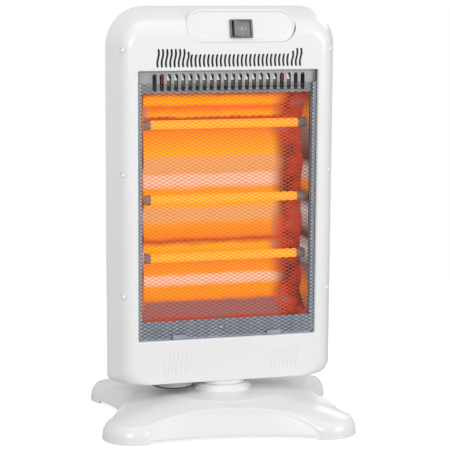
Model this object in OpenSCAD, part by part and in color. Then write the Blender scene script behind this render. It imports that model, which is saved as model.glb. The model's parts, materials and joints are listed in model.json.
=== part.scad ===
// Tall quartz-tube heater: a moulded head that swivels on a four-footed base.
// Front is -Y, up is +Z, and the floor is z = 0 under the middle of the base.

/* [Head] */
// Greatest width of the head, where front frame and rear shell meet
head_w = 305; // [290:1:330]
// Height of the head above its flat bottom
head_h = 482; // [475:1:520]
// Depth of the front frame
frame_depth = 38; // [36:1:50]
// Depth of the rear shell
shell_depth = 50; // [46:1:80]
// Radius of the upper corners, seen from the front
head_corner_r = 50; // [30:1:60]
// Wall of the white mouldings
wall = 2.6; // [2:0.1:3.2]
// Distance from the swivel axis forward to the head's front
head_forward = 31; // [31:1:36]
// How far the sides of the front frame lean in, from back to front
side_slant = 18; // [10:1:20]
// How far the top of the front frame leans in, from back to front
top_slant = 22; // [14:1:24]
// Rounding of the front edges
edge_round = 10.5; // [6:0.5:12]

/* [Window] */
// Width of the frame beside the window
side_border = 33.5; // [32:0.5:40]
// Height of the frame above the window
top_border = 80.2; // [78:0.1:90]
// Height of the window's lower edge above the head's bottom
window_lift = 56.8; // [52:0.1:60]
// Depth of the lip that runs round the window
lip_depth = 5; // [4:0.5:6]

/* [Vents] */
// Number of wavy slots above the window
slot_count = 35; // [15:2:35]
// Distance between neighbouring wavy slots and ribs
slot_pitch = 5.53; // [5:0.01:6]
// Width of one wavy slot
slot_w = 2.6; // [1.6:0.1:2.8]
// Height of the long slots at both ends of the row
slot_long = 21; // [18:1:22]
// Height of the short slots in the middle of the row
slot_short = 14; // [10:1:16]
// Depth of the blind wavy grooves below the window
groove_depth = 0.8; // [0.4:0.1:1.2]

/* [Control panel] */
// Width of the oval panel
panel_w = 145; // [120:1:160]
// Height of the oval panel, measured along its leaning face
panel_h = 43; // [36:0.5:44]
// Lean of the panel's face from upright
panel_lean = 14; // [8:1:18]
// Distance of the panel's middle to the right of the head's middle
panel_x = 16; // [0:1:20]
// Width of the switch bezel
bezel_w = 30; // [28:1:34]
// Height of the switch bezel
bezel_h = 24; // [22:1:28]
// Angle between the two outer positions of the rocker
rocker_swing = 24; // [16:1:28]

/* [Heating] */
// Outer radius of a quartz tube
tube_r = 5.75; // [5:0.25:6.5]
// Distance from a side plate to the glowing end of a tube
tube_inset = 11.5; // [9:0.5:14]
// Heights of the three tubes, as shares of the window's height from its lower edge
tube_share = [0.302, 0.521, 0.799];
// Distance of the tubes behind the head's front
tube_back = 23.3; // [22:0.1:25]
// Thickness of the bright sheet parts
sheet = 0.8; // [0.5:0.1:1.2]
// Distance from the window's edge to the reflector's side plate
trough_side = 9; // [8:0.5:11]
// Distance of the reflector's back behind the head's front
trough_back = 38.8; // [37:0.1:42]
// Gap between the guard and the window's edge
guard_side = 5; // [4:0.5:6]
// Distance of the guard's face behind the window's front edge
guard_back = 4.6; // [4.2:0.1:6]
// Gaps of the guard across one row
guard_cols = 7; // [5:1:7]
// Rows of gaps in the guard
guard_rows = 21; // [14:1:21]
// Wire width of the guard
guard_wire = 1.6; // [1:0.1:2.5]
// Number of upright slots in the louvre strip
louvre_count = 22; // [16:1:24]

/* [Base] */
// Distance between the middles of the left and right feet
foot_span_x = 246; // [230:1:260]
// Distance between the middles of the front and back feet
foot_span_y = 207; // [190:1:230]
// Radius of one foot, seen from above
foot_r = 41; // [36:1:46]
// Distance from the base's middle to the middle of its front edge
front_mid = 127.6; // [124:0.1:132]
// Distance from the base's middle to the middle of its side edge
side_mid = 131.3; // [128:0.1:136]
// Height of the plateau
base_h = 46; // [42:1:54]
// Height of the edge over the arches
crest_h = 40; // [35:1:42]
// Height of the edge round the feet
foot_h = 20; // [14:1:22]
// Clearance of the arches above the floor
arch_h = 4.5; // [4.5:0.5:8]
// Thickness of the rubber pads that show under the feet
pad_show = 1; // [0.8:0.1:2]

/* [Swivel] */
// Distance of the swivel axis ahead of the base's middle
pivot_ahead = 21.4; // [0:0.1:24]
// Turn of the head on the base as drawn
rest_turn = 8.4; // [0:0.1:20]
// Largest turn of the head to either side of the base's middle
swing_half = 35; // [20:1:35]
// Outer radius of the hollow pivot tube
pivot_r = 15; // [13:0.5:17]
// Radial clearance of the head on the pivot tube
pivot_clear = 0.05; // [0.02:0.01:0.1]
// Height of the flared collar
collar_h = 7.5; // [6.5:0.5:12]
// Radius of the collar's foot
collar_r = 40; // [38:1:48]
// Radius of the ring under the head
neck_r = 32; // [27:0.5:33]
// Height of the ring under the head
neck_h = 5.5; // [3:0.5:6]

/* [Drive] */
// Radius of the gear motor
motor_r = 25; // [24:0.5:25]
// Height of the gear motor
motor_h = 20; // [18:1:22]
// Radius of the round cover under the motor
motor_cover_r = 27.5; // [27:0.5:28]
// Radius at which the link pushes the anchor arm
anchor_r = 22; // [20:1:24]

/* [Hidden] */
$fn = 48;

// Gap between pieces that are assembled but don't move
seat = 0.2;
// Overlap that makes joined shapes one solid
eps = 0.5;

white = [0.93, 0.93, 0.92];
bright = [0.75, 0.77, 0.78];
steel = [0.6, 0.62, 0.64];
dark = [0.3, 0.3, 0.31];

// ---- Swivel stack, from the plateau up
collar_top = base_h + collar_h;
washer_t = 0.3;
swivel_gap = 0.2;
head_z0 = collar_top + washer_t + swivel_gap + neck_h;
head_top = head_z0 + head_h;
pivot = [-pivot_ahead * sin(rest_turn), -pivot_ahead * cos(rest_turn), 0];
bush_r = pivot_r + 8.8;
plate_t = 2;
plate_top = head_z0 + wall + plate_t;
nut_z = plate_top + 1;
nut_h = 6;
arm_z = nut_z + nut_h + seat;
arm_h = 5;
tube_top = arm_z + arm_h + 1;
pivot_bore = pivot_r - 4.5;
flange_r = 32;
flange_t = 3;

// ---- Head depths, counted back from the front face
seam_y = frame_depth - head_forward;
rear_y = seam_y + shell_depth;
window_w = head_w - 2 * side_border;
window_h = head_h - window_lift - top_border;
window_z0 = head_z0 + window_lift;
window_z1 = window_z0 + window_h;
lip_t = 2;
strip_back = 10;
apron_back = 7;
flange_back = 14.5;
trough_z0 = window_z0 + 24.7;
trough_z1 = window_z1 - 29;
trough_rise = 0.0725 * window_h;
trough_drop = 0.0794 * window_h;
trough_w = window_w - 2 * trough_side;
tube_len = trough_w - 2 * tube_inset;
tube_z = [for (share = tube_share) window_z0 + share * window_h];
tube_y = tube_back - head_forward;
boss_x = window_w / 2 + 7;
boss_z = [for (share = [0.0986, 0.5043, 0.8928]) window_z0 + share * window_h];
screw_x = head_w / 2 - 15.2;
screw_z = [for (share = [0.2395, 0.5634, 0.8875]) head_z0 + share * head_h];
screw_shaft_r = 1.6;
screw_head_r = 3.2;
screw_bore_r = 3.4;
screw_seat_back = 24;

// ---- Control panel, in its own leaning frame
panel_z = head_top - 45.2;
panel_depth = 24;
panel_wall = 2.2;
// The face lies this much behind the panel's rim
panel_dish = 0.8;
panel_rim = 3.8;
// The switch sits this much below the panel's middle
switch_drop = 4;
switch_mid = panel_h / 2 - switch_drop;
bezel_t = 2;
housing_w = bezel_w - 3;
housing_h = bezel_h - 1;
housing_depth = 22;
terminal_pitch = 8;
rocker_w = bezel_w - 6;
rocker_h = bezel_h - 4.6;
rocker_gap = 0.3;
rocker_pin_r = 1.5;
rocker_pin_back = 3;

// ---- Drive
crank_r = anchor_r * sin(swing_half);
motor_at = [-(anchor_r + crank_r + 32.4), -3];
crank_pin_r = 2.5;
crank_t = 3;
link_t = 3;
motor_z = head_z0 - 3.5;
motor_shaft_r = 3.5;
crank_z = motor_z + motor_h + 1.5;
link_z = max(crank_z + crank_t, arm_z + arm_h + 1.6) + seat;
anchor_at = [-anchor_r * sin(rest_turn), -anchor_r * cos(rest_turn)];
crank_turn = -acos(max(-1, min(1, anchor_at.x / crank_r)));
crank_at = motor_at + crank_r * [cos(crank_turn), sin(crank_turn)];

// ---- Tip-over switch
plunger_at = [34, 58];
plunger_r = 4;
plunger_travel = 3;
cover_z = arch_h + 1;
cover_t = 2.5;
post_h = 12;

// =========================== Helpers ===========================

// Faces that join rings of points into one closed skin. Each ring has n points.
// A loop of rings needs no caps; an open stack is closed by its two end rings.
function ring_faces(m, n, loop) = concat(
    [for (j = [0 : m - (loop ? 1 : 2)], i = [0 : n - 1])
        let (a = j * n + i, b = j * n + (i + 1) % n,
             c = ((j + 1) % m) * n + (i + 1) % n, d = ((j + 1) % m) * n + i)
        each [[a, c, b], [a, d, c]]],
    loop ? [] : [[for (i = [0 : n - 1]) i], [for (i = [n - 1 : -1 : 0]) (m - 1) * n + i]]
);

module skin(rings, loop = false)
    polyhedron([for (ring = rings) each ring], ring_faces(len(rings), len(rings[0]), loop));

// Quarter circle from 90 degrees times q, as n + 1 points
function quarter(cx, cz, r, q, n) =
    [for (i = [0 : n]) let (a = 90 * q + 90 * i / n) [cx + r * cos(a), cz + r * sin(a)]];

corner_steps = 7;

// Rounded rectangle seen from the front, placed at depth y
function frame_ring(w, z0, z1, r_low, r_top, y) = [
    for (p = concat(
        quarter(w - r_top, z1 - r_top, r_top, 0, corner_steps),
        quarter(-w + r_top, z1 - r_top, r_top, 1, corner_steps),
        quarter(-w + r_low, z0 + r_low, r_low, 2, corner_steps),
        quarter(w - r_low, z0 + r_low, r_low, 3, corner_steps)
    )) [p.x, y, p.y]
];

module rounded_rect(w, h, r) {
    square([w - 2 * r, h], center = true);
    square([w, h - 2 * r], center = true);
    for (x = [-1, 1], y = [-1, 1])
        translate([x * (w / 2 - r), y * (h / 2 - r)]) circle(r);
}

module pill(w, h) {
    square([w - h, h], center = true);
    for (x = [-1, 1]) translate([x * (w - h) / 2, 0]) circle(h / 2);
}

// Runs what it draws in Z back along +Y instead
module from_front() translate([0, -head_forward, 0]) rotate([90, 0, 0]) mirror([0, 0, 1]) children();

module in_base() rotate(-rest_turn) children();
module at_pivot() translate(pivot) children();
module in_panel() translate([panel_x, -head_forward, panel_z]) rotate([90 - panel_lean, 0, 0]) children();

module cyl_y(r, y0, y1) translate([0, y1, 0]) rotate([90, 0, 0]) cylinder(r = r, h = y1 - y0);
module cyl_x(r, x0, x1) translate([x0, 0, 0]) rotate([0, 90, 0]) cylinder(r = r, h = x1 - x0);

// ======================= Front frame =======================

// Inset of the outer surface at depth d behind the front, at the sides and at the top
round_top = 12;
function rounding(d, r) = d >= r ? 0 : 1 - sqrt(1 - pow((r - d) / r, 2));
function side_in(d) = side_slant * (1 - d / frame_depth) + edge_round * rounding(d, 10);
function top_in(d) = top_slant * (1 - d / frame_depth) + (edge_round + 3) * rounding(d, round_top);
// Lower corners, seen from the front: tight at the seam, open at the front
seam_low_r = 11;
front_low_r = 28;
function low_r(d) = seam_low_r + (front_low_r - seam_low_r) * pow(1 - d / frame_depth, 4);
function top_r(d) = max(9, head_corner_r - 1.1 * side_in(d));

function outer_ring(d, t) = frame_ring(
    head_w / 2 - side_in(d) - t, head_z0 + min(t, wall), head_top - top_in(d) - t,
    max(1, low_r(d) - t), max(2, top_r(d) - t), d - head_forward);

function window_ring(grow, d) = frame_ring(
    window_w / 2 + grow, window_z0 - grow, window_z1 + grow, 2 + grow, 2 + grow, d - head_forward);

// One wavy slot: bends right, then left, as high as long says
wave_steps = 6;
function wave_shift(s, s_turns) = s_turns ? 1.8 * s - sin(360 * s) : sin(180 * s) - 0.3 * s;
function wave_side(h, bow, s_turns, dx) = [for (i = [0 : wave_steps])
    let (s = i / wave_steps) [dx + bow * wave_shift(s, s_turns), h * s]];
module wave(h, bow, s_turns, w) {
    left = wave_side(h, bow, s_turns, -w / 2);
    right = wave_side(h, bow, s_turns, w / 2);
    polygon(concat(right, [for (i = [wave_steps : -1 : 0]) left[i]]));
}

slot_z = window_z1 + 5.4;
slot_x0 = -(slot_count - 1) / 2 * slot_pitch;
long_left = 7;
long_right = 2;
module vent_slots() {
    for (i = [0 : slot_count - 1]) {
        from_right = slot_count - 1 - i;
        is_long = i < long_left || from_right < long_right;
        is_mid = i == long_left || from_right == long_right;
        h = is_long ? slot_long : (is_mid ? (slot_long + slot_short) / 2 : slot_short);
        translate([slot_x0 + i * slot_pitch, slot_z])
            wave(h, is_long || is_mid ? 0.7 : -1, is_long || is_mid, slot_w);
    }
}

groove_x = [-69, 76];
groove_z = head_z0 + 12.5;
groove_h = 28;
groove_count = 7;
groove_w = 1.8;
module blind_grooves() {
    for (x = groove_x, i = [0 : groove_count - 1])
        translate([x + (i - (groove_count - 1) / 2) * slot_pitch, groove_z])
            wave(groove_h, 0.9, true, groove_w);
}

module frame_body() {
    skin([
        outer_ring(frame_depth, 0), outer_ring(23, 0), outer_ring(12, 0), outer_ring(7, 0),
        outer_ring(4, 0), outer_ring(2, 0), outer_ring(0.6, 0), outer_ring(0, 0),
        window_ring(0, 0), window_ring(0, lip_depth), window_ring(lip_t, lip_depth),
        window_ring(lip_t, wall), outer_ring(wall, wall + 1), outer_ring(7, wall + 0.4),
        outer_ring(14, wall), outer_ring(frame_depth, wall)
    ], true);
    for (x = [-1, 1], z = boss_z)
        translate([x * boss_x, 0, z]) cyl_y(4.4, wall - eps - head_forward, flange_back - head_forward);
    for (x = [-1, 1], z = screw_z)
        translate([x * screw_x, 0, z]) cyl_y(4.6, 16 - head_forward, seam_y);
}

module front_frame() color(white) at_pivot() difference() {
    frame_body();
    for (x = [-1, 1], z = screw_z) translate([x * screw_x, 0, z]) {
        cyl_y(screw_bore_r, -head_forward - 1, screw_seat_back - head_forward);
        cyl_y(screw_shaft_r + seat, screw_seat_back - head_forward - 1, seam_y + 1);
    }
    in_panel() translate([0, panel_h / 2, -panel_depth - 4])
        linear_extrude(panel_depth + 24) pill(panel_w + 2 * seat, panel_h + 2 * seat);
    from_front() translate([0, 0, -1]) linear_extrude(wall + 2) vent_slots();
    from_front() translate([0, 0, -1]) linear_extrude(1 + groove_depth) blind_grooves();
    floor_holes();
}

// ======================= Rear shell =======================

// Shares of the shell's depth at which its section changes
rear_steps = [0, 0.24, 0.5, 0.72, 0.88, 0.97, 1];
function rear_in(e) = 20 * e + 22 * rounding(1 - e, 0.52);
function rear_lift(e) = 6 * rounding(1 - e, 0.3);
function rear_ring(e, y, t) = frame_ring(
    head_w / 2 - rear_in(e) - t, head_z0 + rear_lift(e) + t, head_top - 0.8 * rear_in(e) - t,
    max(2, seam_low_r + 0.4 * rear_in(e) - t), max(4, head_corner_r - 0.4 * rear_in(e) - t), y);

// Each row of rear vents holds five slots
vent_rows = 9;
vent_pitch = (head_w - 65) / 6;
vent_w = vent_pitch - 10;
vent_h = 5;
vent_rise = head_h / 22;
vent_z = head_z0 + 0.312 * head_h;
module rear_vents() {
    for (z = [0 : vent_rows - 1], x = [-2 : 2])
        translate([x * vent_pitch, vent_z + z * vent_rise]) pill(vent_w, vent_h);
}

grip_w = 110;
grip_h = 34;
grip_z = head_top - 72;
grip_deep = 24;
grip_wall = 2;
grip_lip = 5;
grip_lip_t = 1.2;
module rear_shell() color(white) at_pivot() difference() {
    union() {
        rear_skin();
        for (x = [-1, 1], z = screw_z) translate([x * screw_x, 0, z]) {
            cyl_y(4.6, seam_y, seam_y + 20);
            translate([x > 0 ? 0 : -11, seam_y, -1]) cube([11, 8, 2]);
        }
    }
    from_front() translate([0, 0, head_forward + rear_y - wall - 1]) linear_extrude(wall + 2) {
        rear_vents();
        translate([0, grip_z]) pill(grip_w + 2 * seat, grip_h + 2 * seat);
    }
    for (x = [-1, 1], z = screw_z)
        translate([x * screw_x, 0, z]) cyl_y(screw_shaft_r, seam_y - 1, seam_y + 14);
    floor_holes();
}
module rear_skin() {
    outer = [for (e = rear_steps) rear_ring(e, seam_y + e * shell_depth, 0)];
    inner = [for (e = rear_steps) rear_ring(e, seam_y + e * (shell_depth - wall), wall)];
    skin(concat(reverse(outer), inner));
}

module grip_cup() color(white) at_pivot() translate([0, 0, grip_z]) difference() {
    union() {
        translate([0, rear_y + grip_lip_t, 0]) rotate([90, 0, 0])
            linear_extrude(grip_lip_t) pill(grip_w + 2 * grip_lip, grip_h + 2 * grip_lip);
        translate([0, rear_y + eps, 0]) rotate([90, 0, 0]) linear_extrude(grip_deep) pill(grip_w, grip_h);
    }
    translate([0, rear_y + 3, 0]) rotate([90, 0, 0])
        linear_extrude(grip_deep) pill(grip_w - 2 * grip_wall, grip_h - 2 * grip_wall);
}

// ======================= Control panel and switch =======================

module control_panel() color(white) at_pivot() in_panel() difference() {
    translate([0, panel_h / 2, -panel_depth]) linear_extrude(panel_depth) pill(panel_w, panel_h);
    translate([0, panel_h / 2, -panel_dish])
        linear_extrude(1) pill(panel_w - 2 * panel_rim, panel_h - 2 * panel_rim);
    translate([0, panel_h / 2, -panel_depth - 1])
        linear_extrude(panel_depth + 1 - panel_wall)
            pill(panel_w - 2 * panel_wall, panel_h - 2 * panel_wall);
    translate([0, switch_mid, -panel_wall - 1]) linear_extrude(panel_wall + 2)
        square([housing_w + 2 * seat, housing_h + 2 * seat], center = true);
}

module switch_housing() color(dark) at_pivot() in_panel() translate([0, switch_mid, 0]) difference() {
    union() {
        linear_extrude(bezel_t) rounded_rect(bezel_w, bezel_h, 1.5);
        translate([0, 0, -housing_depth]) linear_extrude(housing_depth + eps)
            square([housing_w, housing_h], center = true);
        for (x = [-1 : 1]) translate([x * terminal_pitch - 0.4, -3, -housing_depth - 8]) cube([0.8, 6, 9]);
    }
    translate([0, 0, -11]) linear_extrude(20)
        square([rocker_w + 2 * rocker_gap, rocker_h + 2 * rocker_gap], center = true);
    translate([0, 0, -rocker_pin_back]) rotate([90, 0, 0])
        cylinder(r = rocker_pin_r + pivot_clear, h = housing_h - 1, center = true);
}

// The rocker's section: two flats that meet in a shallow valley over the pin
module rocker_section() {
    h = (rocker_w / 2 - 3.4 * sin(rocker_swing / 2)) * cos(rocker_swing / 2);
    rise = h * tan(rocker_swing / 2);
    polygon([
        [-h, rise], [0, 0], [h, rise], [h - 0.6, rise - 4.5], [2.5, -5], [-2.5, -5], [-h + 0.6, rise - 4.5]
    ]);
}
module switch_rocker() color([0.45, 0.46, 0.47]) at_pivot() in_panel()
    translate([0, switch_mid, -rocker_pin_back]) rotate([0, rocker_swing / 2, 0]) union() {
        rotate([90, 0, 0]) linear_extrude(rocker_h, center = true)
            translate([0, 3.4]) rocker_section();
        rotate([90, 0, 0]) cylinder(r = rocker_pin_r, h = housing_h - 1.2, center = true);
    }

// ======================= Case screws =======================

// Each plug is cut to the slant of the side and stands a little proud of it
plug_slant = 45;
plug_show = 0.5;
function slant_depth(d) = head_w / 2 - side_in(d) < screw_x ? d : (d < 1 ? d : slant_depth(d - 0.25));
plug_back = slant_depth(frame_depth);
module screw_plugs() color(white) at_pivot() for (x = [0, 1], z = screw_z)
    mirror([x, 0, 0]) translate([screw_x, 0, z]) difference() {
        cyl_y(screw_bore_r - 0.1, -head_forward, plug_back + 7 - head_forward);
        translate([0, plug_back - head_forward, -10]) rotate(plug_slant)
            translate([-20, -30 - plug_show, 0]) cube([40, 30, 20]);
    }

module case_screws() color(steel) at_pivot() for (x = [-1, 1], z = screw_z)
    translate([x * screw_x, 0, z]) {
        cyl_y(screw_head_r, screw_seat_back - 2.5 - head_forward, screw_seat_back - head_forward);
        cyl_y(screw_shaft_r - 0.05, screw_seat_back - head_forward - eps, seam_y + 13);
    }

// ======================= Guard, strips, reflector =======================

guard_w = window_w - 2 * guard_side;
guard_z0 = window_z0 + 2;
guard_z1 = window_z1 - 16;
guard_y = guard_back - head_forward;
module guard_net() {
    h = guard_z1 - guard_z0;
    px = (guard_w - 4) / guard_cols;
    pz = (h - 4) / guard_rows;
    k = 1 - guard_wire / pz;
    difference() {
        square([guard_w, h]);
        for (i = [0 : guard_cols - 1], j = [0 : guard_rows - 1]) {
            translate([2 + px * (i + 0.5), 2 + pz * (j + 0.5)])
                scale([px * k / 2, pz * k / 2]) circle(1, $fn = 4);
            if (i > 0 && j > 0)
                translate([2 + px * i, 2 + pz * j]) scale([px * k / 2, pz * k / 2]) circle(1, $fn = 4);
        }
    }
}
module guard_mesh() color(steel) at_pivot() {
    translate([-guard_w / 2, guard_y + sheet, guard_z0]) rotate([90, 0, 0])
        linear_extrude(sheet) guard_net();
    for (x = [-guard_w / 2, guard_w / 2 - sheet])
        translate([x, guard_y, trough_z0 + 1])
            cube([sheet, flange_back - guard_back, trough_z1 - trough_z0 - 2]);
}

clip_x = [-63.5, 63.5];
clip_w = 18.6;
module guard_clips() color(steel) at_pivot() for (x = clip_x) translate([x - clip_w / 2, 0, 0]) {
    translate([0, guard_y - sheet - 0.1, guard_z0 - 1.2]) cube([clip_w, sheet, 5.5]);
    translate([0, guard_y - sheet - 0.1, guard_z0 - 1.2])
        cube([clip_w, apron_back - guard_back + sheet + 0.1, sheet]);
}

strip_w = window_w + 5;
strip_z0 = trough_z1;
strip_z1 = window_z1 + 5;
louvre_pitch = 9.36;
louvre_mid = 2.7;
louvre_h = 22;
louvre_z0 = window_z1 - 4 - louvre_h;
function louvre_x(i) = louvre_mid + (i + (1 - louvre_count) / 2) * louvre_pitch;
louvre_gap = 5.4;
module louvre_strip() color(bright) at_pivot() {
    y = strip_back - head_forward;
    difference() {
        translate([-strip_w / 2, y, strip_z0]) cube([strip_w, sheet, strip_z1 - strip_z0]);
        for (i = [0 : louvre_count - 1])
            translate([louvre_x(i) - louvre_gap / 2, y - 1, louvre_z0])
                cube([louvre_gap, sheet + 2, louvre_h]);
    }
    translate([-strip_w / 2, wall - head_forward, strip_z1 - sheet])
        cube([strip_w, strip_back - wall + sheet, sheet]);
    for (i = [0 : louvre_count - 1])
        translate([louvre_x(i) + louvre_gap / 2, y, louvre_z0 + 0.5])
            linear_extrude(louvre_h - 1) louvre_fin();
}
// A fin starts in the strip beside its slot and leans back across it
module louvre_fin() polygon([
    [0.4, sheet / 2], [1.2, sheet / 2], [1.2, sheet + 0.6],
    [-1.8, sheet + 4], [-2.4, sheet + 3.5], [0.4, sheet + 0.3]
]);

apron_x = -5.4;
module apron_strip() color(bright) at_pivot() difference() {
    union() {
        translate([-strip_w / 2, apron_back - head_forward, window_z0 - 6])
            cube([strip_w, sheet, trough_z0 - window_z0 + 6]);
        translate([-strip_w / 2, wall - head_forward, window_z0 - 6])
            cube([strip_w, apron_back - wall + sheet, sheet]);
    }
    translate([apron_x, 0, window_z0 + 12.4]) cyl_y(1.7, -head_forward, 0);
}
module apron_screw() color(steel) at_pivot() translate([apron_x, 0, window_z0 + 12.4]) {
    cyl_y(1.6, apron_back - head_forward - eps, apron_back - head_forward + 7);
    translate([0, apron_back - head_forward, 0]) rotate([90, 0, 0])
        rotate_extrude() intersection() {
            translate([0, -3.4]) circle(4.6);
            square([4, 2]);
        }
}

// Folded section of the reflector, as [distance behind the front, height]
trough_front = apron_back + sheet;
ridge_out = 10;
ridge_half = 0.055 * window_h;
function ridge(z) = [
    [trough_back, z + ridge_half], [trough_back - ridge_out, z], [trough_back, z - ridge_half]
];
trough_line = concat(
    [[strip_back + sheet, trough_z1], [trough_back, trough_z1 - trough_drop]],
    ridge((tube_z[2] + tube_z[1]) / 2 - 6), ridge((tube_z[1] + tube_z[0]) / 2),
    ridge(trough_z0 + trough_rise + ridge_half + 2.5),
    [[trough_back, trough_z0 + trough_rise], [trough_front, trough_z0]]
);
module reflector() color(bright) at_pivot() {
    n = len(trough_line);
    back = [for (i = [n - 1 : -1 : 0]) trough_line[i]
        + [i == 0 || i == n - 1 ? 0.01 : sheet, i < 2 ? sheet : (i > n - 3 ? -sheet : 0)]];
    translate([-trough_w / 2 + sheet, -head_forward, 0]) rotate([90, 0, 90])
        linear_extrude(trough_w - 2 * sheet) polygon(concat(trough_line, back));
}

module side_plate() difference() {
    union() {
        translate([trough_w / 2, -head_forward, 0]) rotate([90, 0, 90]) linear_extrude(sheet) polygon([
            [trough_front, trough_z0 - sheet], [strip_back + sheet, trough_z1 + sheet],
            [trough_back + sheet, trough_z1 - trough_drop + sheet],
            [trough_back + sheet, trough_z0 + trough_rise - sheet]
        ]);
        translate([trough_w / 2, flange_back - head_forward, trough_z0 + 4])
            cube([boss_x + 5 - trough_w / 2, sheet, trough_z1 - trough_z0 - 8]);
    }
    for (z = tube_z) translate([0, tube_y, z]) cyl_x(cap_r + seat, 0, trough_w);
}
module side_plate_right() color(bright) at_pivot() side_plate();
module side_plate_left() color(bright) at_pivot() mirror([1, 0, 0]) side_plate();

// ======================= Quartz tubes =======================

cap_r = tube_r + 0.75;
cap_end = trough_w / 2 + 8;
tube_end = tube_len / 2 + 5;
filament_r = 1.5;
module quartz_tube(z) color([0.95, 0.6, 0.2, 0.6]) at_pivot() translate([0, tube_y, z]) difference() {
    cyl_x(tube_r, -tube_end, tube_end);
    cyl_x(tube_r - 1, -tube_end - 1, tube_end + 1);
}
module filament(z) color("orange") at_pivot()
    translate([0, tube_y, z]) cyl_x(filament_r, -tube_end - 1, tube_end + 1);
module tube_1() quartz_tube(tube_z[0]);
module tube_2() quartz_tube(tube_z[1]);
module tube_3() quartz_tube(tube_z[2]);
module filament_1() filament(tube_z[0]);
module filament_2() filament(tube_z[1]);
module filament_3() filament(tube_z[2]);

module tube_caps() color([0.6, 0.6, 0.58]) at_pivot() for (z = tube_z, x = [0, 1])
    translate([0, tube_y, z]) mirror([x, 0, 0]) difference() {
        cyl_x(cap_r, tube_len / 2, cap_end);
        cyl_x(tube_r + 0.03, tube_len / 2 - 1, tube_end + 0.2);
        cyl_x(filament_r + 0.1, 0, tube_end + 3);
    }

module tube_clips() color(steel) at_pivot() for (z = tube_z, x = [0, 1])
    translate([0, tube_y, z]) mirror([x, 0, 0]) translate([trough_w / 2 + sheet, 0, 0]) difference() {
        rotate([0, 90, 0]) cylinder(r = cap_r + 1.2, h = 3);
        rotate([0, 90, 0]) translate([0, 0, -1]) cylinder(r = cap_r + 0.05, h = 6);
    }

// ======================= Inner sheet parts and wiring =======================

shield_y = trough_back - head_forward + 13;
shield_w = trough_w - 10;
shield_fold = 8;
module heat_shield() color(steel) at_pivot() {
    h = trough_z1 - trough_z0;
    translate([-shield_w / 2, shield_y, trough_z0]) cube([shield_w, sheet, h]);
    for (x = [-shield_w / 2, shield_w / 2 - sheet])
        translate([x, shield_y - shield_fold, trough_z0]) cube([sheet, shield_fold + eps, h]);
}

spacer_r = 4;
spacer_x = shield_w / 2 - 15;
module shield_spacers() color(steel) at_pivot()
    for (x = [-spacer_x, spacer_x], z = [trough_z0 + 10, trough_z1 - 10])
        translate([x, 0, z]) cyl_y(spacer_r, shield_y + sheet, rear_y - wall);

cutout_z = tube_z[1] + 12;
cutout_r = 8;
cutout_h = 7;
cutout_ear = 24;
module thermal_cutout() color(steel) at_pivot()
    translate([0, trough_back + sheet - head_forward, cutout_z]) {
        translate([0, cutout_h, 0]) rotate([90, 0, 0]) cylinder(r = cutout_r, h = cutout_h);
        translate([-cutout_ear / 2, 0, -3]) cube([cutout_ear, 1, 6]);
    }

// The leads rise behind the louvre strip and turn up under the switch's terminals
lead_x = [louvre_x(1) + 6, louvre_x(louvre_count - 4) + 6];
lead_r = 1.2;
terminal_back = housing_depth + 4;
lead_y = switch_mid * sin(panel_lean) + terminal_back * cos(panel_lean) - head_forward;
lead_top = panel_z + switch_mid * cos(panel_lean) - terminal_back * sin(panel_lean) - 3.4;
lead_turn = lead_top - 6;
lead_z0 = trough_z1 - trough_drop + 12;
module red_leads() color([0.75, 0.12, 0.08]) at_pivot() for (x = lead_x) {
    end = panel_x + (x < 0 ? -terminal_pitch : terminal_pitch);
    translate([x, lead_y, lead_z0]) cylinder(r = lead_r, h = lead_turn - lead_z0);
    translate([x, lead_y, lead_turn]) sphere(lead_r);
    translate([0, lead_y, lead_turn]) cyl_x(lead_r, min(x, end), max(x, end));
    translate([end, lead_y, lead_turn]) sphere(lead_r);
    translate([end, lead_y, lead_turn]) cylinder(r = lead_r, h = lead_top - lead_turn);
}

block_at = [70, 12];
block_pitch = 14;
module terminal_block() color([0.9, 0.9, 0.85]) at_pivot()
    translate([block_at.x, block_at.y, head_z0 + wall]) difference() {
        translate([-1.5 * block_pitch, -block_pitch / 2, 0]) cube([3 * block_pitch, block_pitch, 13]);
        for (x = [-block_pitch, 0, block_pitch]) translate([x, 0, 6]) cylinder(r = 2.6, h = 10);
    }

// ======================= Base =======================

foot_c = [foot_span_x / 2, foot_span_y / 2];
// Radius of the circle through the middle of an edge that touches both its feet
function edge_r(mid, a, b) = (a * a + pow(mid - b, 2) - foot_r * foot_r) / (2 * (foot_r - (mid - b)));
front_r = edge_r(front_mid, foot_c.x, foot_c.y);
side_r = edge_r(side_mid, foot_c.y, foot_c.x);
// Directions from a foot's middle to the middles of the two edge circles beside it
ang_side = atan2(-foot_c.y, side_mid + side_r - foot_c.x);
ang_front = atan2(front_mid + front_r - foot_c.y, -foot_c.x);

foot_steps = 8;
// Positions along half an edge, from its middle at 0 to the foot at 1
edge_steps = concat([for (i = [0 : 5]) i / 6], [0.94, 0.956]);
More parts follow.
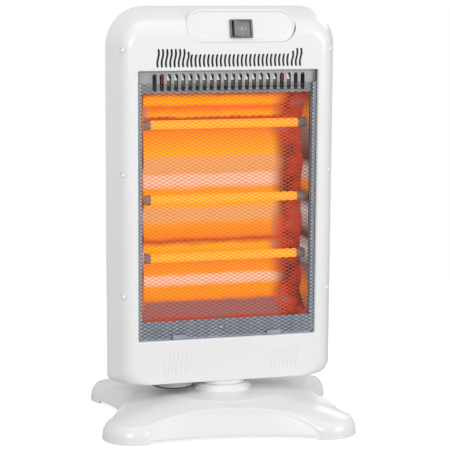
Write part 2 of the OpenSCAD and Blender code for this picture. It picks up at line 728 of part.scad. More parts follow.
// One quarter of the outline, from the middle of the side to the middle of the front,
// as [x, y, share]: share is 1 in the middle of an edge and 0 on a foot. g moves it inwards.
function base_quarter(g) = concat(
    [for (s = edge_steps) let (a = 180 + s * ang_side)
        [side_mid + side_r + (side_r + g) * cos(a), (side_r + g) * sin(a), 1 - s * s]],
    [for (i = [0 : foot_steps]) let (a = ang_side + (ang_front - ang_side) * i / foot_steps)
        [foot_c.x + (foot_r - g) * cos(a), foot_c.y + (foot_r - g) * sin(a), 0]],
    [for (s = reverse(tail(edge_steps))) let (a = 270 + s * (ang_front - 90))
        [(front_r + g) * cos(a), front_mid + front_r + (front_r + g) * sin(a), 1 - s * s]]
);
function flip(p, sx, sy) = [p.x * sx, p.y * sy, p.z];
function reverse(list) = [for (i = [len(list) - 1 : -1 : 0]) list[i]];
function tail(list) = [for (i = [1 : len(list) - 1]) list[i]];
function base_line(g) = let (q = base_quarter(g), mid_front = [0, front_mid - g, 1]) concat(
    q, [mid_front],
    [for (p = reverse(tail(q))) flip(p, -1, 1)],
    [for (p = q) flip(p, -1, -1)],
    [flip(mid_front, 1, -1)],
    [for (p = reverse(tail(q))) flip(p, 1, -1)]
);

// Height of the edge and its lean inwards, by share
function edge_z(s) = foot_h + (crest_h - foot_h) * pow(s, 0.8);
function lean(s) = 2.5 + 11 * s;
// Radius of the edge, wide on the feet
function round_edge(s) = 6 + 6 * (1 - s);
// The feet reach this far along the arches
foot_share = 0.1;
// A ring that stands on the outline: up from its foot to the round edge, or a degrees round it
function skirt_ring(up, a, t) = let (
    far = base_line(0), near = base_line(1))
    [for (i = [0 : len(far) - 1]) let (
        s = far[i].z, dir = [near[i].x - far[i].x, near[i].y - far[i].y], r = round_edge(s),
        g = lean(s) * up + r * (1 - cos(a)) + t,
        z0 = s > foot_share ? arch_h : pad_show, z1 = edge_z(s) - r)
        [far[i].x + dir.x * g, far[i].y + dir.y * g, z0 + (z1 - z0) * up + r * sin(a) - t * sin(a)]];
// Rings between the edge and the plateau, k from 0 to 1
plateau_r = 79.5;
function plateau_point(p, r, z) = let (v = p - [0, -pivot_ahead], l = norm(v))
    [v.x / l * r, v.y / l * r - pivot_ahead, z];
function top_ring(k, t) = let (edge = skirt_ring(1, 90, t)) [for (p = edge) let (
    q = plateau_point([p.x, p.y], plateau_r, base_h - 2 - t), z = p.z)
    [p.x + (q.x - p.x) * k, p.y + (q.y - p.y) * k, z + (q.z - z) * (1 - pow(1 - k, 1.5))]];
function round_ring(r, z) = [for (p = base_line(0)) plateau_point([p.x, p.y], r, z)];

base_t = 2.8;
base_hole_r = pivot_r + 3;
module base_shell() color(white) in_base() difference() {
    union() {
        skin([
            skirt_ring(0, 0, 0), skirt_ring(1, 0, 0), skirt_ring(1, 25, 0), skirt_ring(1, 50, 0),
            skirt_ring(1, 72, 0), top_ring(0, 0), top_ring(0.15, 0), top_ring(0.4, 0),
            top_ring(0.7, 0), top_ring(1, 0),
            round_ring(plateau_r - 2.5, base_h - 0.6), round_ring(collar_r + 3, base_h),
            round_ring(base_hole_r, base_h),
            round_ring(base_hole_r, base_h - base_t), round_ring(collar_r + 3, base_h - base_t),
            top_ring(1, base_t), top_ring(0.45, base_t), top_ring(0, base_t),
            skirt_ring(1, 45, base_t), skirt_ring(1, 0, base_t), skirt_ring(0, 0, base_t)
        ], true);
        for (x = [0, 1], y = [0, 1]) mirror([x, 0, 0]) mirror([0, y, 0])
            translate([foot_c.x, foot_c.y, pad_show]) {
                cylinder(r = pad_r + 3, h = foot_boss_h);
                for (a = [0, 45, 90]) rotate(a) translate([0, -1, 0]) cube([foot_r - 4.5, 2, foot_boss_h - 4]);
            }
        for (p = cover_screw_at) translate([p.x, p.y, cover_z + cover_t])
            cylinder(r = 4, h = base_h - base_t + eps - cover_z - cover_t);
    }
    for (x = [-1, 1], y = [-1, 1]) translate([x * foot_c.x, y * foot_c.y, 0])
        cylinder(r = pad_r + seat, h = pad_show + pad_sunk);
    for (p = cover_screw_at) translate([p.x, p.y, cover_z]) cylinder(r = 1.5, h = 14);
    for (a = [45 : 90 : 315]) translate([0, -pivot_ahead, 0]) rotate(a)
        translate([flange_r - 6, 0, base_h - 10]) cylinder(r = 1.9, h = 20);
    translate([0, 0, gland_z]) {
        cyl_y(gland_r + seat, front_mid - 30, front_mid + 10);
        cyl_y(gland_r + 2 + seat, front_mid - 5 - seat, front_mid + 10);
    }
}
pad_r = 12;
pad_sunk = 2.5;
foot_boss_h = 13;
cover_screw_at = [for (x = [-1, 1], y = [-1, 1]) [x * 50, y * 50 - pivot_ahead]];

module cover_outline(g) {
    line = [for (p = base_line(g)) [p.x, p.y]];
    polygon(line);
}
module base_cover() color([0.85, 0.85, 0.84]) in_base() difference() {
    union() {
        translate([0, 0, cover_z]) linear_extrude(cover_t) cover_outline(base_t + 3.5);
        translate([plunger_at.x, plunger_at.y, 0]) for (x = [-1, 1])
            translate([x * 11 - 2, -4, cover_z]) cube([4, 8, cover_t + post_h]);
    }
    for (p = cover_screw_at) translate([p.x, p.y, 0]) cylinder(r = 1.9, h = 30);
    for (x = [-1, 1], y = [-1, 1])
        translate([x * foot_c.x, y * foot_c.y, 0]) cylinder(r = foot_r - 1, h = 30);
    translate([plunger_at.x, plunger_at.y, 0]) cylinder(r = plunger_r + 0.1, h = 30);
}
module foot_pads() color([0.75, 0.75, 0.74]) in_base() for (x = [-1, 1], y = [-1, 1])
    translate([x * foot_c.x, y * foot_c.y, 0]) cylinder(r = pad_r, h = pad_show + pad_sunk);
module base_screws() color(steel) in_base() for (p = cover_screw_at) translate([p.x, p.y, cover_z]) {
    translate([0, 0, -1.2]) cylinder(r = 3.4, h = 1.2);
    translate([0, 0, -eps]) cylinder(r = 1.45, h = 13);
}

module base_collar() color(white) at_pivot() translate([0, 0, base_h]) rotate_extrude() difference() {
    polygon([
        [0, 0], [collar_r + 1, 0], [collar_r, 1.2], [(collar_r + neck_r) / 2 + 0.5, collar_h / 2],
        [neck_r + 2.4, collar_h - 0.6], [neck_r + 1.8, collar_h], [0, collar_h]
    ]);
    translate([0, -1]) square([pivot_r + seat, collar_h + 2]);
}
module pivot_tube() color(steel) at_pivot() rotate(-rest_turn) difference() {
    union() {
        translate([0, 0, base_h - base_t - flange_t]) cylinder(r = flange_r, h = flange_t);
        translate([0, 0, base_h - base_t - flange_t])
            cylinder(r = pivot_r, h = tube_top - base_h + base_t + flange_t);
    }
    cylinder(r = pivot_bore, h = 2 * tube_top);
    for (a = [45 : 90 : 315]) rotate(a) translate([flange_r - 6, 0, 0]) cylinder(r = 1.9, h = base_h);
}
module flange_screws() color(steel) at_pivot() rotate(-rest_turn) for (a = [45 : 90 : 315]) rotate(a)
    translate([flange_r - 6, 0, base_h - base_t - flange_t]) {
        translate([0, 0, -2]) cylinder(r = 3.4, h = 2);
        translate([0, 0, -eps]) cylinder(r = 1.8, h = flange_t + base_t);
    }
module thrust_washer() color(steel) at_pivot() translate([0, 0, collar_top]) difference() {
    cylinder(r = neck_r - 2, h = washer_t);
    translate([0, 0, -1]) cylinder(r = pivot_r + seat, h = 2);
}
module pivot_nut() color(steel) at_pivot() translate([0, 0, nut_z - 0.6]) difference() {
    cylinder(r = pivot_r + 7, h = nut_h + 0.6, $fn = 6);
    translate([0, 0, -1]) cylinder(r = pivot_r + 0.03, h = nut_h + 3);
}
module anchor_arm() color(steel) at_pivot() translate([0, 0, arm_z]) {
    difference() {
        union() {
            cylinder(r = pivot_r + 3.5, h = arm_h);
            translate(anchor_at) cylinder(r = 5, h = arm_h);
        }
        translate([0, 0, -1]) cylinder(r = pivot_r + 0.03, h = arm_h + 2);
    }
    translate(anchor_at) cylinder(r = 2.5, h = link_z - seat - arm_z);
}
module tip_switch() color(dark) in_base()
    translate([plunger_at.x, plunger_at.y, cover_z + cover_t + post_h]) {
        translate([-14, -3.2, 0]) cube([28, 6.4, 11]);
        translate([-9, -2, -0.8]) cube([18, 4, 0.8 + eps]);
    }
module tip_plunger() color([0.2, 0.2, 0.2]) in_base() translate([plunger_at.x, plunger_at.y, 0]) {
    top = cover_z + cover_t + post_h - 0.8 - 0.3;
    translate([0, 0, 0.3]) cylinder(r = plunger_r, h = top - 0.3);
    translate([0, 0, cover_z + cover_t + plunger_travel + 0.3]) cylinder(r = plunger_r + 2.5, h = 2);
}

gland_z = 21;
gland_r = 7;
cable_r = 3.6;
module cable_gland() color(dark) in_base() translate([0, 0, gland_z]) difference() {
    union() {
        cyl_y(gland_r, front_mid - 22, front_mid - 5);
        cyl_y(gland_r + 2, front_mid - 5, front_mid - 2.5);
    }
    cyl_y(cable_r + 0.1, front_mid - 30, front_mid);
}
cable_bend = 14;
module inner_cable() color([0.15, 0.15, 0.15]) in_base() {
    translate([0, 0, gland_z]) cyl_y(cable_r, cable_bend - pivot_ahead, front_mid - 22.5);
    translate([0, cable_bend - pivot_ahead, gland_z + cable_bend]) rotate([0, 90, 0]) rotate([0, 0, -90])
        rotate_extrude(angle = 90) translate([cable_bend, 0]) circle(cable_r);
    translate([0, -pivot_ahead, gland_z + cable_bend])
        cylinder(r = cable_r, h = tube_top + 4 - gland_z - cable_bend);
}

// ======================= Head bearing and drive =======================

module floor_holes() {
    cylinder(r = bush_r + seat, h = 3 * head_z0, center = true);
    translate([motor_at.x, motor_at.y, 0]) cylinder(r = motor_r + seat, h = motor_z + motor_h);
    for (p = neck_screw_at) translate([p.x, p.y, head_z0 - 1]) cylinder(r = neck_screw_r + 0.05, h = 10);
}

module neck_bush() color(white) at_pivot() difference() {
    union() {
        translate([0, 0, head_z0 - neck_h]) cylinder(r = neck_r, h = neck_h);
        translate([0, 0, head_z0 - eps]) cylinder(r = bush_r, h = wall + plate_t + eps);
    }
    cylinder(r = pivot_r + pivot_clear, h = 2 * head_z0);
}
neck_screw_at = [for (x = [-1, 1], y = [-1, 1]) [x * 33 + (x < 0 ? 3 : 0), y * 20]];
module neck_plate() color(steel) at_pivot() translate([0, 0, head_z0 + wall]) difference() {
    translate([-37, -26, 0]) cube([80, 52, plate_t]);
    translate([0, 0, -1]) cylinder(r = bush_r + 0.05, h = plate_t + 2);
    translate([motor_at.x, motor_at.y, -1]) cylinder(r = motor_r + 4, h = plate_t + 2);
    for (p = neck_screw_at) translate([p.x, p.y, -1]) cylinder(r = neck_screw_r + seat, h = plate_t + 2);
}
neck_screw_r = 1.5;
module neck_screws() color(steel) at_pivot() for (p = neck_screw_at) translate([p.x, p.y, plate_top]) {
    cylinder(r = 3, h = 1.8);
    translate([0, 0, 0.4 - plate_t - wall]) cylinder(r = neck_screw_r, h = plate_t + wall);
}
module drive_motor() color(steel) at_pivot() translate([motor_at.x, motor_at.y, motor_z]) {
    cylinder(r = motor_r, h = motor_h);
    cylinder(r = motor_shaft_r, h = crank_z - motor_z + crank_t);
}
motor_cover_h = 5.5;
module motor_cover() color(white) at_pivot()
    translate([motor_at.x, motor_at.y, head_z0 - motor_cover_h]) difference() {
        union() {
            cylinder(r = motor_cover_r - 1, h = motor_cover_h);
            translate([0, 0, 1]) cylinder(r = motor_cover_r, h = motor_cover_h - 1);
        }
        translate([0, 0, motor_cover_h - 3.5 - seat]) cylinder(r = motor_r + seat, h = 6);
    }
module crank_disc() color([0.85, 0.8, 0.6]) at_pivot() translate([motor_at.x, motor_at.y, crank_z]) {
    difference() {
        cylinder(r = crank_r + 5, h = crank_t);
        translate([0, 0, -1]) cylinder(r = motor_shaft_r + pivot_clear, h = crank_t + 2);
    }
    rotate(crank_turn) translate([crank_r, 0, 0])
        cylinder(r = crank_pin_r, h = link_z + link_t + 0.8 - crank_z);
}
module drive_link() color(steel) at_pivot() translate([0, 0, link_z]) linear_extrude(link_t) difference() {
    union() {
        translate(crank_at) circle(5.5);
        translate(anchor_at) circle(5.5);
        translate(crank_at) rotate(link_dir) translate([0, -3]) square([norm(anchor_at - crank_at), 6]);
    }
    translate(crank_at) circle(crank_pin_r + pivot_clear);
    translate(anchor_at) circle(3.6);
}
link_dir = atan2(anchor_at.y - crank_at.y, anchor_at.x - crank_at.x);

base_shell();
base_cover();
foot_pads();
base_screws();
base_collar();
pivot_tube();
flange_screws();
thrust_washer();
pivot_nut();
anchor_arm();
tip_switch();
cable_gland();
inner_cable();
tip_plunger();
front_frame();
rear_shell();
grip_cup();
control_panel();
switch_housing();
switch_rocker();
screw_plugs();
case_screws();
guard_mesh();
guard_clips();
louvre_strip();
apron_strip();
apron_screw();
reflector();
side_plate_left();
side_plate_right();
tube_1();
tube_2();
tube_3();
filament_1();
filament_2();
filament_3();
tube_caps();
tube_clips();
heat_shield();
shield_spacers();
thermal_cutout();
red_leads();
terminal_block();
neck_bush();
neck_plate();
neck_screws();
drive_motor();
motor_cover();
crank_disc();
drive_link();
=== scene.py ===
import json
import math

import bmesh
import bpy
from mathutils import Matrix, Vector

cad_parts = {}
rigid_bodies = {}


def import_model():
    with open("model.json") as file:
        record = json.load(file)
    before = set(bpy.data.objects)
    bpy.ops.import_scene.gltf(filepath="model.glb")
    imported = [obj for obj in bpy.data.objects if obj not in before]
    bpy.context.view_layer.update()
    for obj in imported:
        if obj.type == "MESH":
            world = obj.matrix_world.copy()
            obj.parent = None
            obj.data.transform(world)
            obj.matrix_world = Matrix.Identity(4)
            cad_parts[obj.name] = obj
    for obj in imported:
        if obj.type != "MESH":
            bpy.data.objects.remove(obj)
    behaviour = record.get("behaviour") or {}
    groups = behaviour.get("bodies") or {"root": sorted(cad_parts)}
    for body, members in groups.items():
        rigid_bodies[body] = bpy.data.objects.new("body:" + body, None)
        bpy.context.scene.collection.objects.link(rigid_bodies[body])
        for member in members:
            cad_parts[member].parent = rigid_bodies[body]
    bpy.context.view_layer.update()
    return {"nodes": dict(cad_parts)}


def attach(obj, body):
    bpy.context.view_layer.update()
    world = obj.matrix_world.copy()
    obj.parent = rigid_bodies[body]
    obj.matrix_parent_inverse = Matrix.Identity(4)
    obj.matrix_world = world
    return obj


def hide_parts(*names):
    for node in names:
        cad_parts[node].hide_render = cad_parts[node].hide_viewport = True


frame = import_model()

# ---------------------------------------------------------------- places, in millimetres

PIVOT = Vector((-3.1262, -21.1704, 0))
REST_TURN = math.radians(-8.4)
HEAD_W, HEAD_Z0, HEAD_TOP = 305, 59.5, 541.5
DEPTH, FORWARD, WALL = 38, 31, 2.6
SHELL_DEPTH, SEAM_Y = 50, 7
WINDOW_W, WINDOW_Z0, WINDOW_Z1 = 238, 116.3, 461.3
TUBE_Z = (220.5, 296, 392)
TUBE_Y, TUBE_R = -7.7, 5.75
TROUGH_Z0, TROUGH_Z1 = 141, 432.3
SCREW_X, SCREW_Z = 137.3, (174.9, 331.1, 487.3)
CORNER_R = 50
PANEL_W, PANEL_H, SWITCH_MID = 145, 43, 17.5


def at_head(p):
    """Head millimetres, from the swivel line at floor level, to metres in the shared frame."""
    return (Vector(p) + PIVOT) / 1000


def at_base(p):
    """Base millimetres to metres in the shared frame, in which the base stands turned."""
    c, s = math.cos(REST_TURN), math.sin(REST_TURN)
    return Vector((p[0] * c - p[1] * s, p[0] * s + p[1] * c, p[2])) / 1000


def at_panel(p):
    """Panel millimetres to metres: x across, y up its leaning face, z out of it."""
    c, s = math.cos(math.radians(76)), math.sin(math.radians(76))
    return at_head((16 + p[0], -FORWARD + p[1] * c - p[2] * s, 496.3 + p[1] * s + p[2] * c))


# ---------------------------------------------------------------- materials

def nodes_of(mat):
    mat.use_nodes = True
    tree = mat.node_tree
    return tree, tree.nodes, tree.links, tree.nodes["Principled BSDF"]


def ramp(nodes, stops):
    node = nodes.new("ShaderNodeValToRGB")
    elements = node.color_ramp.elements
    while len(elements) > 1:
        elements.remove(elements[-1])
    elements[0].position = stops[0][0]
    elements[0].color = (*stops[0][1], 1)
    for place, colour in stops[1:]:
        elements.new(place).color = (*colour, 1)
    return node


def noise_of(nodes, links, scale, detail=3, stretch=None):
    coord = nodes.new("ShaderNodeTexCoord")
    noise = nodes.new("ShaderNodeTexNoise")
    noise.inputs["Scale"].default_value = scale
    noise.inputs["Detail"].default_value = detail
    if stretch:
        mapping = nodes.new("ShaderNodeMapping")
        mapping.inputs["Scale"].default_value = stretch
        links.new(coord.outputs["Object"], mapping.inputs["Vector"])
        links.new(mapping.outputs["Vector"], noise.inputs["Vector"])
    else:
        links.new(coord.outputs["Object"], noise.inputs["Vector"])
    return noise


GLOSS_DRIFT, GRAIN_DEPTH, COAT_ROUGH = 0.05, 0.0004, 0.12


def surface(name, colour, rough, metal=0.0, vary=0.04, scale=30, grain=900, bump=0.03, stretch=None,
            coat=0.0, emit=None, emit_power=0.0):
    """A moulded, cast or rolled surface: slow colour drift, fine grain and uneven gloss."""
    mat = bpy.data.materials.new(name)
    tree, nodes, links, shader = nodes_of(mat)
    drift = noise_of(nodes, links, scale, 4, stretch)
    low = tuple(c * (1 - vary) for c in colour)
    high = tuple(min(1, c * (1 + vary)) for c in colour)
    shade = ramp(nodes, [(0.3, low), (0.7, high)])
    links.new(drift.outputs["Fac"], shade.inputs["Fac"])
    links.new(shade.outputs["Color"], shader.inputs["Base Color"])
    gloss = nodes.new("ShaderNodeMapRange")
    gloss.inputs["To Min"].default_value = max(0.02, rough - GLOSS_DRIFT)
    gloss.inputs["To Max"].default_value = rough + GLOSS_DRIFT
    links.new(drift.outputs["Fac"], gloss.inputs["Value"])
    links.new(gloss.outputs["Result"], shader.inputs["Roughness"])
    fine = noise_of(nodes, links, grain, 2, stretch)
    bumps = nodes.new("ShaderNodeBump")
    bumps.inputs["Strength"].default_value = bump
    bumps.inputs["Distance"].default_value = GRAIN_DEPTH
    links.new(fine.outputs["Fac"], bumps.inputs["Height"])
    links.new(bumps.outputs["Normal"], shader.inputs["Normal"])
    shader.inputs["Metallic"].default_value = metal
    shader.inputs["Coat Weight"].default_value = coat
    if coat:
        shader.inputs["Coat Roughness"].default_value = COAT_ROUGH
    if emit:
        shader.inputs["Emission Color"].default_value = (*emit, 1)
        shader.inputs["Emission Strength"].default_value = emit_power
    return mat


white = surface("white_gloss", (0.82, 0.82, 0.82), 0.3, vary=0.012, scale=9, grain=1400, bump=0.012,
                coat=0.15)


def shade_upward(mat, stops):
    """Painted shade on a moulding by height: it darkens where the moulding turns up and away from the lamps.
    """
    tree = mat.node_tree
    nodes, links = tree.nodes, tree.links
    colour = nodes["Principled BSDF"].inputs["Base Color"]
    split = nodes.new("ShaderNodeSeparateXYZ")
    links.new(nodes.new("ShaderNodeTexCoord").outputs["Object"], split.inputs["Vector"])
    up = nodes.new("ShaderNodeMapRange")
    up.inputs["From Min"].default_value = 0.5
    up.inputs["From Max"].default_value = 0.55
    links.new(split.outputs["Z"], up.inputs["Value"])
    tone = ramp(nodes, [(place, (level,) * 3) for place, level in stops])
    links.new(up.outputs["Result"], tone.inputs["Fac"])
    mix = nodes.new("ShaderNodeMix")
    mix.data_type, mix.blend_type = "RGBA", "MULTIPLY"
    mix.inputs["Factor"].default_value = 1
    links.new(colour.links[0].from_socket, mix.inputs["A"])
    links.new(tone.outputs["Color"], mix.inputs["B"])
    links.new(mix.outputs["Result"], colour)


# Painted shade: the white mouldings darken towards the top of the head.
shade_upward(white, [(0.1, 1.0), (0.45, 0.97), (0.7, 0.93), (0.83, 0.86)])
white_low = surface("white_base", (0.8, 0.8, 0.8), 0.3, vary=0.012, scale=9, grain=1400, bump=0.015, coat=0.2)
plug_white = surface("plug_white", (0.9, 0.9, 0.9), 0.16, vary=0.01, scale=60, grain=1400, bump=0.01,
                     coat=0.4)
panel_white = surface("panel_white", (0.8, 0.8, 0.8), 0.3, vary=0.012, scale=20, grain=2200, bump=0.03)
pale_inner = surface("pale_inner", (0.62, 0.62, 0.61), 0.5, vary=0.05, scale=25, bump=0.05)
dark_plastic = surface("dark_switch", (0.17, 0.17, 0.17), 0.32, vary=0.1, scale=120, grain=2600, bump=0.08)
rocker_grey = surface("grey_rocker", (0.21, 0.21, 0.21), 0.34, vary=0.04, scale=140, grain=2600, bump=0.05)
mark_white = surface("mark_white", (0.5, 0.5, 0.5), 0.4, vary=0.05, scale=300)
# Painted shade: a grey copy of the white plastic for the motor cover, which sits in shade under the head.
shaded_disc_grey = surface("shaded_disc_grey", (0.33, 0.33, 0.33), 0.4, vary=0.03, scale=60, bump=0.05)
pale_rubber = surface("pale_rubber", (0.5, 0.5, 0.49), 0.75, vary=0.06, scale=60, grain=1800, bump=0.25)
# Black rubber, also used near-black for shade: the plate behind the louvres and the ring under the motor
# disc.
dark_rubber = surface("dark_rubber", (0.03, 0.03, 0.03), 0.6, vary=0.2, scale=90, grain=1800, bump=0.2)
steel = surface("steel", (0.55, 0.56, 0.58), 0.34, metal=1, vary=0.08, scale=60, stretch=(1, 1, 9), bump=0.05)
guard_steel = surface("guard_steel", (0.08, 0.07, 0.065), 0.42, metal=0.5, vary=0.35, scale=420, bump=0.12)
margin_steel = surface("margin_steel", (0.1, 0.105, 0.11), 0.42, metal=0.6, vary=0.35, scale=420, bump=0.12)
# Painted highlight: a light copy of the guard's steel for its bent-back side flanges and the plate behind
# them.
lit_flange_steel = surface("lit_flange_steel", (0.62, 0.68, 0.74), 0.34, metal=0.35, vary=0.3, scale=420, bump=0.12)
blue_sheet = surface("blue_sheet", (0.48, 0.53, 0.62), 0.3, metal=0.8, vary=0.14, scale=22, stretch=(4, 1, 1),
                     bump=0.05)
strip_sheet = surface("strip_sheet", (0.4, 0.41, 0.42), 0.36, metal=0.7, vary=0.12, scale=22,
                      stretch=(3, 1, 1), bump=0.05)
liner_sheet = surface("liner_sheet", (0.44, 0.5, 0.56), 0.4, metal=0.2, vary=0.1, scale=60, bump=0.05)
# Painted shade: a near-black copy of the strip's sheet for the lower flaps deep in each louvre.
shaded_sill_sheet = surface("shaded_sill_sheet", (0.09, 0.085, 0.065), 0.5, metal=0.5, vary=0.3, scale=30, bump=0.1)
# Painted shade: a near-black sheet for the plate behind the wavy slots and the end flanges behind the frame.
shade_dark_sheet = surface("shade_dark_sheet", (0.07, 0.065, 0.06), 0.42, metal=0.5, vary=0.3, scale=60,
                     stretch=(1, 1, 0.3), bump=0.1)
ceramic = surface("ceramic", (0.25, 0.23, 0.21), 0.62, vary=0.16, scale=160, grain=1600, bump=0.3)
red_wire = surface("red_wire", (0.55, 0.03, 0.015), 0.38, vary=0.12, scale=180, bump=0.05)
cream = surface("drive_plastic", (0.66, 0.6, 0.42), 0.42, vary=0.04, scale=60, bump=0.06)
floor_pale = surface("floor_pale", (0.4, 0.4, 0.4), 0.9, vary=0.006, scale=2, grain=300, bump=0.01,
                     emit=(1, 1, 1), emit_power=0.78)


GLOW_ROUGH, GLOW_SHINE = 0.3, 0.12
# The glowing sheet's base colour is mostly dark with a share of the painted glow; the patch constants give a
# painted mauve patch near the left end.
BASE_SHARE, BASE_DARK = 0.12, (0.02, 0.016, 0.014, 1)
PATCH_FROM, PATCH_TO, PATCH_COLOUR = -78, -92, (0.42, 0.17, 0.16, 1)


def glow_surface(name, stops, z0, z1, power, ends=None, streak=0.35):
    """Painted reflection of the hot tubes on a polished sheet: bands of emitted glow up the sheet, dying away
    at the ends.
    """
    mat = bpy.data.materials.new(name)
    tree, nodes, links, shader = nodes_of(mat)
    coord = nodes.new("ShaderNodeTexCoord")
    split = nodes.new("ShaderNodeSeparateXYZ")
    links.new(coord.outputs["Object"], split.inputs["Vector"])
    wander = noise_of(nodes, links, 5, 3, (6, 1, 22))
    shift = nodes.new("ShaderNodeMath")
    shift.operation = "MULTIPLY_ADD"
    shift.inputs[1].default_value = streak * 0.02
    links.new(wander.outputs["Fac"], shift.inputs[0])
    links.new(split.outputs["Z"], shift.inputs[2])
    up = nodes.new("ShaderNodeMapRange")
    up.inputs["From Min"].default_value = z0 / 1000 + streak * 0.01
    up.inputs["From Max"].default_value = z1 / 1000 + streak * 0.01
    links.new(shift.outputs["Value"], up.inputs["Value"])
    bands = ramp(nodes, stops)
    links.new(up.outputs["Result"], bands.inputs["Fac"])
    colour = bands.outputs["Color"]
    # Painted shade and reflection: beyond the given x the glow gives way to blotchy patches of the dim
    # colours, and a mauve patch is laid high up near the left end.
    if ends:
        left, right, dim = ends
        fade = nodes.new("ShaderNodeMapRange")
        fade.interpolation_type = "SMOOTHSTEP"
        fade.inputs["From Min"].default_value = left / 1000
        fade.inputs["From Max"].default_value = right / 1000
        blotch = noise_of(nodes, links, 26, 3)
        push = nodes.new("ShaderNodeMath")
        push.operation = "MULTIPLY_ADD"
        push.inputs[1].default_value = 0.03
        links.new(blotch.outputs["Fac"], push.inputs[0])
        links.new(split.outputs["X"], push.inputs[2])
        links.new(push.outputs["Value"], fade.inputs["Value"])
        patch = ramp(nodes, dim)
        links.new(blotch.outputs["Fac"], patch.inputs["Fac"])
        mix = nodes.new("ShaderNodeMix")
        mix.data_type = "RGBA"
        links.new(fade.outputs["Result"], mix.inputs["Factor"])
        links.new(colour, mix.inputs["A"])
        links.new(patch.outputs["Color"], mix.inputs["B"])
        colour = mix.outputs["Result"]
        near = nodes.new("ShaderNodeMapRange")
        near.interpolation_type = "SMOOTHSTEP"
        near.inputs["From Min"].default_value = PATCH_FROM / 1000
        near.inputs["From Max"].default_value = PATCH_TO / 1000
        links.new(push.outputs["Value"], near.inputs["Value"])
        full = (0.85, 0.85, 0.85)
        level = ramp(nodes, [(0.86, (0, 0, 0)), (0.885, full), (0.93, full), (0.955, (0, 0, 0))])
        links.new(up.outputs["Result"], level.inputs["Fac"])
        both = nodes.new("ShaderNodeMath")
        both.operation = "MULTIPLY"
        links.new(near.outputs["Result"], both.inputs[0])
        links.new(level.outputs["Color"], both.inputs[1])
        mauve = nodes.new("ShaderNodeMix")
        mauve.data_type = "RGBA"
        mauve.inputs["B"].default_value = PATCH_COLOUR
        links.new(both.outputs["Value"], mauve.inputs["Factor"])
        links.new(colour, mauve.inputs["A"])
        colour = mauve.outputs["Result"]
    links.new(colour, shader.inputs["Emission Color"])
    shader.inputs["Emission Strength"].default_value = power
    base = nodes.new("ShaderNodeMix")
    base.data_type = "RGBA"
    base.inputs["Factor"].default_value = BASE_SHARE
    base.inputs["A"].default_value = BASE_DARK
    links.new(colour, base.inputs["B"])
    links.new(base.outputs["Result"], shader.inputs["Base Color"])
    shader.inputs["Metallic"].default_value = 0
    shader.inputs["Specular IOR Level"].default_value = GLOW_SHINE
    grain = noise_of(nodes, links, 160, 3, (0.2, 1, 3))
    gloss = nodes.new("ShaderNodeMapRange")
    gloss.inputs["To Min"].default_value = GLOW_ROUGH - 0.08
    gloss.inputs["To Max"].default_value = GLOW_ROUGH + 0.1
    links.new(grain.outputs["Fac"], gloss.inputs["Value"])
    links.new(gloss.outputs["Result"], shader.inputs["Roughness"])
    return mat


def lit_by_tubes(mat, stops, low, high, power):
    """Painted light: strands in front of the reflector glow with the colour of the glow behind them, from
    left to right, within its height.
    """
    tree = mat.node_tree
    nodes, links = tree.nodes, tree.links
    coord = nodes.new("ShaderNodeTexCoord")
    split = nodes.new("ShaderNodeSeparateXYZ")
    links.new(coord.outputs["Object"], split.inputs["Vector"])
    across = nodes.new("ShaderNodeMapRange")
    across.inputs["From Min"].default_value = -0.12
    across.inputs["From Max"].default_value = 0.12
    links.new(split.outputs["X"], across.inputs["Value"])
    tone = ramp(nodes, stops)
    links.new(across.outputs["Result"], tone.inputs["Fac"])
    up = nodes.new("ShaderNodeMapRange")
    up.inputs["From Min"].default_value = low / 1000
    up.inputs["From Max"].default_value = high / 1000
    links.new(split.outputs["Z"], up.inputs["Value"])
    inside = ramp(nodes, [(0.0, (0, 0, 0)), (0.02, (power,) * 3), (0.98, (power,) * 3), (1.0, (0, 0, 0))])
    links.new(up.outputs["Result"], inside.inputs["Fac"])
    links.new(tone.outputs["Color"], nodes["Principled BSDF"].inputs["Emission Color"])
    links.new(inside.outputs["Color"], nodes["Principled BSDF"].inputs["Emission Strength"])


# Painted light on the guard's strands, fading to dark at its ends.
lit_by_tubes(guard_steel, [
    (0.0, (0, 0, 0)), (0.02, (0.75, 0.1, 0.008)), (0.8, (0.75, 0.09, 0.008)), (0.9, (0.16, 0.014, 0.008)),
    (0.95, (0.06, 0.01, 0.006)), (0.97, (0, 0, 0))], TROUGH_Z0, TROUGH_Z1, 0.9)
# Colours of the painted glow and reflection on the reflector and its end plates.
AMBER = (0.94, 0.3, 0.0)
GOLD = (0.98, 0.4, 0.002)
ORANGE = (0.9, 0.23, 0.002)
RED = (0.46, 0.032, 0.008)
MAUVE = (0.18, 0.1, 0.11)
PEACH = (0.80, 0.37, 0.12)
PINK = (0.88, 0.52, 0.34)
DUSK = (0.07, 0.009, 0.007)
EMBER = (0.88, 0.12, 0.003)


def band(*levels):
    """Heights in millimetres with their colours, as the stops of the painted glow up the reflector."""
    return [((z - TROUGH_Z0) / (TROUGH_Z1 - TROUGH_Z0), c) for z, c in levels]


# Painted reflection of the tubes on the reflector: bands of glow by height, with painted dark, red and mauve
# patches at its right end.
painted_mirror_glow = glow_surface("painted_mirror_glow", band(
    (142, RED), (146, MAUVE), (160, MAUVE), (164, ORANGE), (170, AMBER), (180, AMBER), (186, PINK),
    (194, PINK), (198, AMBER), (212, ORANGE), (222, AMBER), (232, GOLD), (240, RED), (246, ORANGE),
    (262, AMBER), (267, PEACH), (281, PEACH), (286, GOLD), (306, AMBER), (314, PINK), (325, PINK),
    (329, PEACH), (347, PEACH), (352, GOLD), (382, ORANGE), (394, RED), (399.5, RED), (402.5, GOLD),
    (414, EMBER), (419, GOLD), (427, AMBER), (432.3, RED)), TROUGH_Z0, TROUGH_Z1, 1.05,
    ends=(75, 98, [(0.4, DUSK), (0.55, RED), (0.66, MAUVE), (0.8, ORANGE)]))
